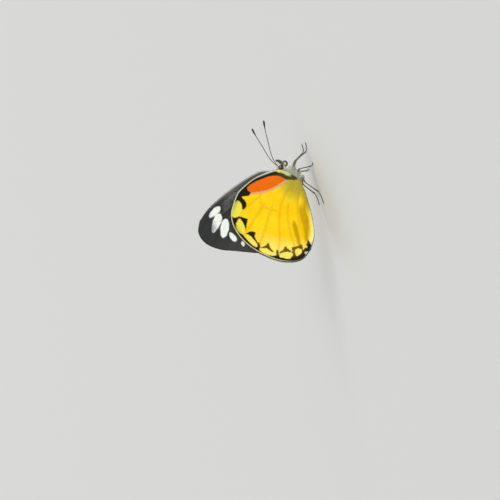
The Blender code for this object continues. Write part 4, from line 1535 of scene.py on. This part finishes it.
def paint_body(name, hairy):
    finish = Finish(name, 0.7, sheen=1.0, specular=0.3)
    pale = finish.mix(finish.ramp(finish.noise(900), 0.3, 0.7), HAIR_PALE, HAIR_GREEN)
    colour = finish.mix(finish.number("back"), pale, HAIR_SLATE)
    colour = finish.mix(finish.number("on_head"), colour, HAIR_HEAD)
    scaly = finish.mix(finish.number("back"), SCALE_CREAM, SCALE_GREY)
    colour = finish.mix(finish.number("on_abdomen"), colour, scaly)
    if hairy:
        shade = finish.mix(finish.number("shade"), HAIR_SHADE, FULL)
        colour = finish.mix(1.0, colour, shade, "MULTIPLY")
        tip = finish.times(finish.ramp(finish.number("tip"), 0.2, 1.0), 0.45)
        return finish.paint(finish.mix(tip, colour, BODY_HAIR_TIP))
    under = finish.mix(0.2, colour, CUTICLE)
    where = node(finish.tree, "ShaderNodeTexCoord").outputs["Object"]
    cells = node(finish.tree, "ShaderNodeTexVoronoi", {"Vector": where, "Scale": 9000.0})
    return finish.paint(under, cells.outputs["Distance"], strength=0.4, depth=0.00003)


body_finish, coat_finish = paint_body("body_cuticle", False), paint_body("body_hair", True)
print("body finishes:", body_finish.name, "and", coat_finish.name)

# %% [markdown]
# Three coats grow from the one skin, each where its region's share is above zero. The skin stands for
# thorax, head and abdomen together.

# %% Body and its coats
thorax_hair = grow(body, "thorax_hair", "on_thorax", SOFT_HAIR, coat_finish, 42, 21, 1.25, 0.17)
head_hair = grow(body, "head_hair", "on_head", SOFT_HAIR, coat_finish, 95, 22, 0.7)
abdomen_scales = grow(body, "abdomen_scales", "on_abdomen", SHORT_SCALES, coat_finish, 40, 23,
                      unevenness=0.12)
forget(body, ("lie", "lean", "hair", "root_map"))
body.materials.append(body_finish)
body.shade_smooth()
body_skin = link_object("body_skin", body)
show(body_skin, "thorax", "thorax", "head", "abdomen")
show(thorax_hair, "thorax")
show(head_hair, "head")
show(abdomen_scales, "abdomen")

# %% [markdown]
# An insect's eye is a dome of hundreds of small lenses packed as hexagons. The dual of a fine ico
# sphere gives that pattern, and raising each face with a narrower top makes every lens stand out. The
# rule suits Geometry Nodes, with the radius, the fineness and the relief as inputs.

# %% The eye tree
EYE_INPUTS = {
    "Radius": "Float", "Fineness": "Int", "Relief": "Float", "Top": "Float", "Finish": "Material",
}


def eye_tree():
    graph = Graph("faceted_dome", EYE_INPUTS)
    given = graph.given
    size = {"Radius": given["Radius"], "Subdivisions": given["Fineness"]}
    ball = graph.add("GeometryNodeMeshIcoSphere", size)
    cells = graph.add("GeometryNodeDualMesh", {"Mesh": ball.outputs["Mesh"]})
    lift = {"Mesh": cells.outputs[0], "Offset Scale": given["Relief"], "Individual": True}
    raised = graph.add("GeometryNodeExtrudeMesh", lift, mode="FACES").outputs
    narrowed = {"Geometry": raised["Mesh"], "Selection": raised["Top"], "Scale": given["Top"]}
    lenses = graph.add("GeometryNodeScaleElements", narrowed, domain="FACE")
    real = graph.add("GeometryNodeRealizeInstances", {"Geometry": lenses.outputs[0]})
    return graph.done(real.outputs[0])


EYE_TREE = eye_tree()
print("eye tree:", len(EYE_TREE.nodes), "nodes")

# %% [markdown]
# The eyes are glossy, dark and banded. Each one is grown at the centre of the scene, made slightly
# taller than long, flattened, and set on its side of the head.

# %% Faceted eyes
EYE_RADIUS = 0.94
EYE_SHAPE = (0.94, 0.86, 1.04)
EYE_PLACE = np.array((0.18, 0.98, 0.15))
EYE_FINENESS = 5
LENS_RELIEF, LENS_TOP = 0.018, 0.6
EYE_DARK, EYE_BROWN = (34, 24, 18), (66, 48, 34)


def paint_eye():
    finish = Finish("eye_gloss", 0.22, specular=0.6)
    finish.surface.inputs["Coat Weight"].default_value = 0.35
    bands = finish.ramp(finish.noise(500, 1.0), 0.4, 0.65)
    return finish.paint(finish.mix(bands, EYE_DARK, EYE_BROWN))


eye_values = {
    "Radius": EYE_RADIUS * MM, "Fineness": EYE_FINENESS, "Relief": LENS_RELIEF * MM, "Top": LENS_TOP,
    "Finish": paint_eye(),
}
for side, side_name in ((RIGHT, "right"), (LEFT, "left")):
    carrier = link_object("eye_carrier", bpy.data.meshes.new("eye_carrier"))
    mesh = run_tree(EYE_TREE, carrier, eye_values)
    bpy.data.objects.remove(carrier)
    centre = metres(HEAD_CENTRE + EYE_PLACE * (1, side, 1))
    mesh.transform(Matrix.Translation(Vector(centre)) @ Matrix.Diagonal((*EYE_SHAPE, 1)))
    mesh.shade_smooth()
    mesh.name = "eye_facets_" + side_name
    show(link_object("eye_facets_" + side_name, mesh), "eye", "eye_" + side_name)
print("lenses in an eye:", 10 * 4 ** (EYE_FINENESS - 1) + 2)

# %% [markdown]
# Legs, feelers, palps and tongue are of one horny kind: dark, with pale flecks of scales where the
# pale attribute says so. Their hair is painted by the same steps.

# %% Finishes of the small parts
HORN_SHADE = (150, 150, 146)


def paint_horn(name, dark, pale, roughness=0.45, hairy=False):
    finish = Finish(name, roughness, sheen=0.1, specular=0.4)
    flecks = finish.ramp(finish.noise(4200, 2.0), 0.45, 0.62)
    flecked = finish.math("ADD", finish.times(flecks, 0.7), 0.3)
    colour = finish.mix(finish.times(finish.number("pale"), flecked), dark, pale)
    if hairy:
        shade = finish.mix(finish.number("shade"), HORN_SHADE, FULL)
        return finish.paint(finish.mix(1.0, colour, shade, "MULTIPLY"))
    return finish.paint(colour, flecks, strength=0.25, depth=0.00001)


leg_finish = paint_horn("leg_horn", (58, 52, 44), (158, 156, 138))
leg_hair_finish = paint_horn("leg_scales", (74, 68, 58), (196, 196, 176), 0.6, hairy=True)
spine_finish = paint_horn("leg_spines", (36, 30, 24), (60, 50, 40), 0.4, hairy=True)
feeler_finish = paint_horn("feeler_horn", (24, 23, 22), (120, 120, 112), 0.5)
palp_hair_finish = paint_horn("palp_hair", (52, 50, 46), (232, 234, 216), 0.6, hairy=True)
tongue_finish = paint_horn("tongue_horn", (58, 36, 20), (104, 72, 42), 0.3)
print("finishes so far:", len(bpy.data.materials))

# %% [markdown]
# Tubes with a coat carry their attributes from the loft: the lie of the hair follows the path, and each
# stretch of tube has its own density and length.

# %% Attributes of a tube
MAP_EDGE = 0.05  # kept free round a tube's flat map


def tube_fields(path, sides, **shares):
    """Attributes of a lofted tube: the direction along it, and any share given per place."""
    places = len(path)

    def per_vertex(values):
        values = np.broadcast_to(values, (places, *np.shape(values)[1:]))
        return np.concatenate((np.repeat(values, sides, axis=0), values[:1], values[-1:]))

    along, round_it = (np.linspace(MAP_EDGE, 1 - MAP_EDGE, count) for count in (places, sides))
    u, v = np.meshgrid(along, round_it, indexing="ij")
    flat = np.stack((u, v, np.zeros_like(u)), -1).reshape(-1, 3)
    fields = {"lie": per_vertex(directions(path)), "root_map": np.vstack((flat, flat[:1], flat[-1:]))}
    for key, values in shares.items():
        fields[key] = per_vertex(np.broadcast_to(np.asarray(values, float), (places,)))
    return fields


def merge_fields(several):
    return {key: np.concatenate([fields[key] for fields in several]) for key in several[0]}


def coat_of_tubes(name, skins, coat, tuft, finish, per_square_mm, seed, slot, **more):
    """Grows one coat over several lofted skins at once."""
    verts, faces = joined([skin for skin, _ in skins])
    mesh = mesh_from(name + "_base", metres(verts), faces)
    for key, values in merge_fields([fields for _, fields in skins]).items():
        store(mesh, key, values)
    piece = grow(mesh, name, coat, tuft, finish, per_square_mm, seed, **more)
    bpy.data.meshes.remove(mesh)
    show(piece, slot)


test_fields = tube_fields(((0, 0, 0), (0, 0, 1), (0, 0, 2)), 12, coat=1.0)
print("kept on a tube:", ", ".join(test_fields))

# %% [markdown]
# Each leg has four joints: at the breast, knee, ankle and toe. Their places are those of the packed
# model, and each left foot stands a little further forward or back than the right one.

# %% Joints of the legs
LEGS = {
    "front": ((3.0, 0.85, -1.3), (5.5, 2.8, -3.2), (7.4, 4.3, -7.25), (10.4, 5.0, -7.8)),
    "middle": ((1.3, 1.0, -2.9), (2.0, 4.1, -3.1), (1.6, 5.9, -7.25), (2.4, 8.2, -7.8)),
    "hind": ((-0.9, 0.95, -3.6), (-3.6, 4.0, -3.9), (-8.0, 5.3, -7.25), (-12.6, 5.9, -7.8)),
}
LEG_STEP = {"front": 0.6, "middle": -0.5, "hind": 0.5}  # how much further forward the left foot is
STEP_WEIGHTS = (0.0, 0.4, 0.8, 1.0)  # each joint's share in that step


def leg_joints(name, side):
    step = LEG_STEP[name] if side == LEFT else 0.0
    joints = zip(LEGS[name], STEP_WEIGHTS)
    return [np.array((x + step * weight, side * y, z)) for (x, y, z), weight in joints]


def limb(start, end, count, bow=0.0):
    """Places from one joint to the next, bowed upwards in the middle."""
    share = np.linspace(0, 1, count)[:, None]
    return start + (end - start) * share + np.array((0, 0, bow)) * np.sin(np.pi * share)


for name in LEGS:
    foot = leg_joints(name, RIGHT)[-1] - leg_joints(name, RIGHT)[-2]
    print(name, "foot", round(float(np.linalg.norm(foot)), 1), "mm long")

# %% [markdown]
# Femur and tibia are a stout and a slim tube. The femur starts a little inside the breast, and the
# tibia widens at the knee and again at the ankle. Both have a coat of scales, and the tibia has spines.

# %% Femur and tibia
LIMB_PLACES = 26
SCALE_LEAN, FOOT_LEAN = math.radians(5), math.radians(8)


def femur_part(root, knee):
    path = limb(root - (knee - root) * 0.12, knee, LIMB_PLACES, 0.12)
    share = np.linspace(0, 1, LIMB_PLACES)
    radius = 0.20 + 0.19 * np.sin(np.pi * share**0.8) ** 0.8 - 0.03 * share
    return path, radius, dict(coat=1.0, hair=0.19, lean=SCALE_LEAN, pale=1 - 0.5 * share, spiny=0.0)


def tibia_part(knee, ankle):
    path = limb(knee, ankle, LIMB_PLACES, 0.06)
    share = np.linspace(0, 1, LIMB_PLACES)
    radius = 0.19 + 0.05 * np.exp(-((share / 0.08) ** 2)) + 0.06 * smooth((share - 0.75) / 0.25)
    shares = dict(coat=0.9, hair=0.17, lean=SCALE_LEAN, pale=0.7 - 0.5 * share, spiny=0.5 * share)
    return path, radius, shares


thickest = femur_part(*leg_joints("hind", RIGHT)[:2])[1].max()
print("a femur is up to", round(2 * float(thickest), 2), "mm thick")

# %% [markdown]
# The foot has five joints, each swelling towards its far end. It comes down from the ankle and then
# lies along the floor. Two short claws curve out and down from its tip.

# %% Foot and claws
TARSUS_SHARES = (0.0, 0.38, 0.56, 0.70, 0.82, 1.0)  # where its joints are
TARSUS_PLACES, CLAW_PLACES = 61, 9


def tarsus_part(ankle, toe):
    share = np.linspace(0, 1, TARSUS_PLACES)
    path = limb(ankle, toe, TARSUS_PLACES)
    path[:, 2] = toe[2] + (ankle[2] - toe[2]) * (1 - share) ** 3
    within = np.zeros(TARSUS_PLACES)
    for low, high in zip(TARSUS_SHARES, TARSUS_SHARES[1:]):
        inside = (share >= low) & (share <= high)
        within[inside] = (share[inside] - low) / (high - low)
    pinch = np.exp(-((within / 0.06) ** 2)) + np.exp(-(((1 - within) / 0.05) ** 2))
    radius = 0.125 + 0.05 * within - 0.05 * pinch
    return path, radius, dict(coat=0.5, hair=0.13, lean=FOOT_LEAN, pale=0.15, spiny=1.0)


def claw_part(ankle, toe, turn):
    ahead = (toe - ankle) * (1, 1, 0)
    ahead = ahead / np.linalg.norm(ahead)
    aside = np.array((-ahead[1], ahead[0], 0)) * turn
    share = np.linspace(0, 1, CLAW_PLACES)[:, None]
    reach = ahead * 0.38 * np.sin(share * 1.5) + aside * (0.05 + 0.22 * share)
    path = toe + reach + (0, 0, 0.05) * np.sin(share * 3) - (0, 0, 0.14) * share**2
    radius = 0.055 * (1 - 0.85 * share[:, 0])
    return path, radius, dict(coat=0.0, hair=0.1, lean=0.0, pale=0.0, spiny=0.0)


print("joints in a foot:", len(TARSUS_SHARES) - 1)

# %% [markdown]
# Five tubes make one leg's skin. The skins are kept in a list, because scales and spines then grow over
# all six legs at once.

# %% Legs
LEG_SIDES = 12

leg_skins = []
for name in LEGS:
    for side, side_name in ((RIGHT, "right"), (LEFT, "left")):
        root, knee, ankle, toe = leg_joints(name, side)
        stretches = [femur_part(root, knee), tibia_part(knee, ankle), tarsus_part(ankle, toe)]
        stretches += [claw_part(ankle, toe, turn) for turn in (-1, 1)]
        parts = [loft(path, radius, LEG_SIDES) for path, radius, _ in stretches]
        kept = [tube_fields(path, LEG_SIDES, **shares) for path, _, shares in stretches]
        fields = merge_fields(kept)
        leg_skins.append((joined(parts), fields))
        leg = lofted_piece(f"leg_skin_{name}_{side_name}", parts, leg_finish, {"pale": fields["pale"]})
        show(leg, "leg", f"leg_{name}_{side_name}")
coat_of_tubes("leg_scales", leg_skins, "coat", SHORT_SCALES, leg_hair_finish, 52, 31, "leg",
              thickness=0.45, unevenness=0.08)
coat_of_tubes("leg_spines", leg_skins, "spiny", SPINE, spine_finish, 16, 32, "leg",
              thickness=0.6, unevenness=0.3)

# %% [markdown]
# The feelers are fine ringed stalks, each ring wider at its far end, and they swell into a club. The
# left one is held a little higher than the right one.

# %% Feelers
ANTENNA_ROOT = np.array((0.80, 0.46, 0.95))  # from the head's middle
ANTENNA_BENDS = {
    RIGHT: ((9.1, 1.5, 5.0), (14.8, 3.0, 5.1), (19.4, 4.2, 5.0), (22.6, 5.0, 4.7)),
    LEFT: ((9.0, 1.7, 5.6), (14.4, 3.5, 6.8), (18.8, 4.9, 7.8), (21.8, 5.8, 8.3)),
}
FEELER_RADIUS, CLUB_RADIUS = 0.15, 0.40
FEELER_RINGS, PLACES_PER_RING, FEELER_SIDES = 44, 6, 10


def feeler(side):
    """The stalk, swollen at its root, and its pale rings."""
    root = HEAD_CENTRE + ANTENNA_ROOT * (1, side, 1)
    bends = [np.array((x, side * y, z)) for x, y, z in ANTENNA_BENDS[side]]
    share = np.linspace(0, 1, FEELER_RINGS * PLACES_PER_RING + 1)
    path = place_on(catmull_rom([root] + bends), share)
    club = smooth((share - 0.80) / 0.14) * (1 - 0.75 * smooth((share - 0.965) / 0.035))
    ring = (share * FEELER_RINGS) % 1.0
    radius = FEELER_RADIUS + (CLUB_RADIUS - FEELER_RADIUS) * club
    radius = radius * (0.84 + 0.16 * smooth(ring * 1.15)) + 0.11 * np.exp(-((share / 0.014) ** 2))
    pale = np.where(ring > 0.75, 0.5, 0.0) * (1 - club)
    pale = np.concatenate((np.repeat(pale, FEELER_SIDES), (0.0, 0.0)))
    return [loft(path, radius, FEELER_SIDES)], {"pale": pale}


stalk_points, _ = feeler(RIGHT)[0][0]
print("a feeler reaches", round(float(np.ptp(stalk_points[:, 0])), 1), "mm forward")

# %% [markdown]
# The palps are three hairy joints that reach forward past the face, pinched where they meet.

# %% Palps
PALP_BENDS = ((0.75, 0.75, -0.8), (2.0, 0.92, -0.55), (2.8, 0.9, 0.1), (3.3, 0.85, 0.95))
PALP_RADII = (0.24, 0.34, 0.26, 0.09)
PALP_JOINTS = (0.36, 0.78)
PALP_PLACES, PALP_SIDES = 46, 12


def palp(side):
    line = catmull_rom([HEAD_CENTRE + (x, side * y, z) for x, y, z in PALP_BENDS])
    share = np.linspace(0, 1, PALP_PLACES)
    path = place_on(line, share)
    radius = np.interp(share, np.linspace(0, 1, len(PALP_RADII)), PALP_RADII)
    for joint in PALP_JOINTS:
        radius = radius - 0.05 * np.exp(-(((share - joint) / 0.025) ** 2))
    shares = dict(coat=1.0, hair=0.5 - 0.15 * share, lean=math.radians(30), pale=0.9 - 0.6 * share)
    fields = tube_fields(path, PALP_SIDES, **shares, spiny=0.25)
    return [loft(path, radius, PALP_SIDES)], fields


palp_points, _ = palp(RIGHT)[0][0]
print("a palp reaches", round(float(np.ptp(palp_points[:, 0])), 1), "mm forward")

# %% [markdown]
# Between the palps the tongue is coiled like a watch spring. It has ribs across it and a groove along
# it, and it thins towards its end in the middle of the coil.

# %% Tongue
TONGUE_CENTRE = HEAD_CENTRE + (1.35, 0, -1.75)
TONGUE_RADIUS, TONGUE_COIL, TONGUE_TURNS = 0.21, (1.15, 0.36), 2.2
TONGUE_START = math.radians(125)
TONGUE_RIBS, RIB_HEIGHT, GROOVE_DEPTH = 60, 0.035, 0.16
TONGUE_PLACES, TONGUE_SIDES = 241, 14


def tongue():
    share = np.linspace(0, 1, TONGUE_PLACES)
    angle = TONGUE_START + share * TONGUE_TURNS * 2 * np.pi
    outer, inner = TONGUE_COIL
    reach = outer + (inner - outer) * share
    coil = np.stack((reach * np.cos(angle), np.zeros(TONGUE_PLACES), reach * np.sin(angle)), 1)
    ribs = 1 + RIB_HEIGHT * np.cos(share * 2 * np.pi * TONGUE_RIBS)
    turn = np.arange(TONGUE_SIDES) * 2 * np.pi / TONGUE_SIDES
    groove = 1 - GROOVE_DEPTH * np.exp(-((np.sin(turn) / 0.35) ** 2)) * (np.cos(turn) > 0)
    taper = TONGUE_RADIUS * (1 - 0.45 * share)
    return [loft(coil + TONGUE_CENTRE, (taper * ribs)[:, None] * groove, TONGUE_SIDES)]


tongue_points, _ = tongue()[0]
print("the tongue's coil is", round(float(np.ptp(tongue_points[:, 0])), 1), "mm across")

# %% [markdown]
# Feelers and palps are made side by side, and hair and bristles grow over both palps at once.

# %% Feelers, palps and tongue
palp_skins = []
for side, side_name in ((RIGHT, "right"), (LEFT, "left")):
    parts, fields = feeler(side)
    stalk = lofted_piece("feeler_" + side_name, parts, feeler_finish, fields)
    show(stalk, "antenna", "antenna_" + side_name)
    parts, fields = palp(side)
    palp_skins.append((joined(parts), fields))
    skin = lofted_piece("palp_skin_" + side_name, parts, leg_finish, {"pale": fields["pale"]})
    show(skin, "palp", "palp_" + side_name)
coat_of_tubes("palp_hair", palp_skins, "coat", SOFT_HAIR, palp_hair_finish, 90, 41, "palp",
              thickness=0.7)
coat_of_tubes("palp_bristles", palp_skins, "spiny", SPINE, spine_finish, 60, 42, "palp",
              thickness=0.6, unevenness=0.4)
show(lofted_piece("coiled_tongue", tongue(), tongue_finish), "tongue", "proboscis")
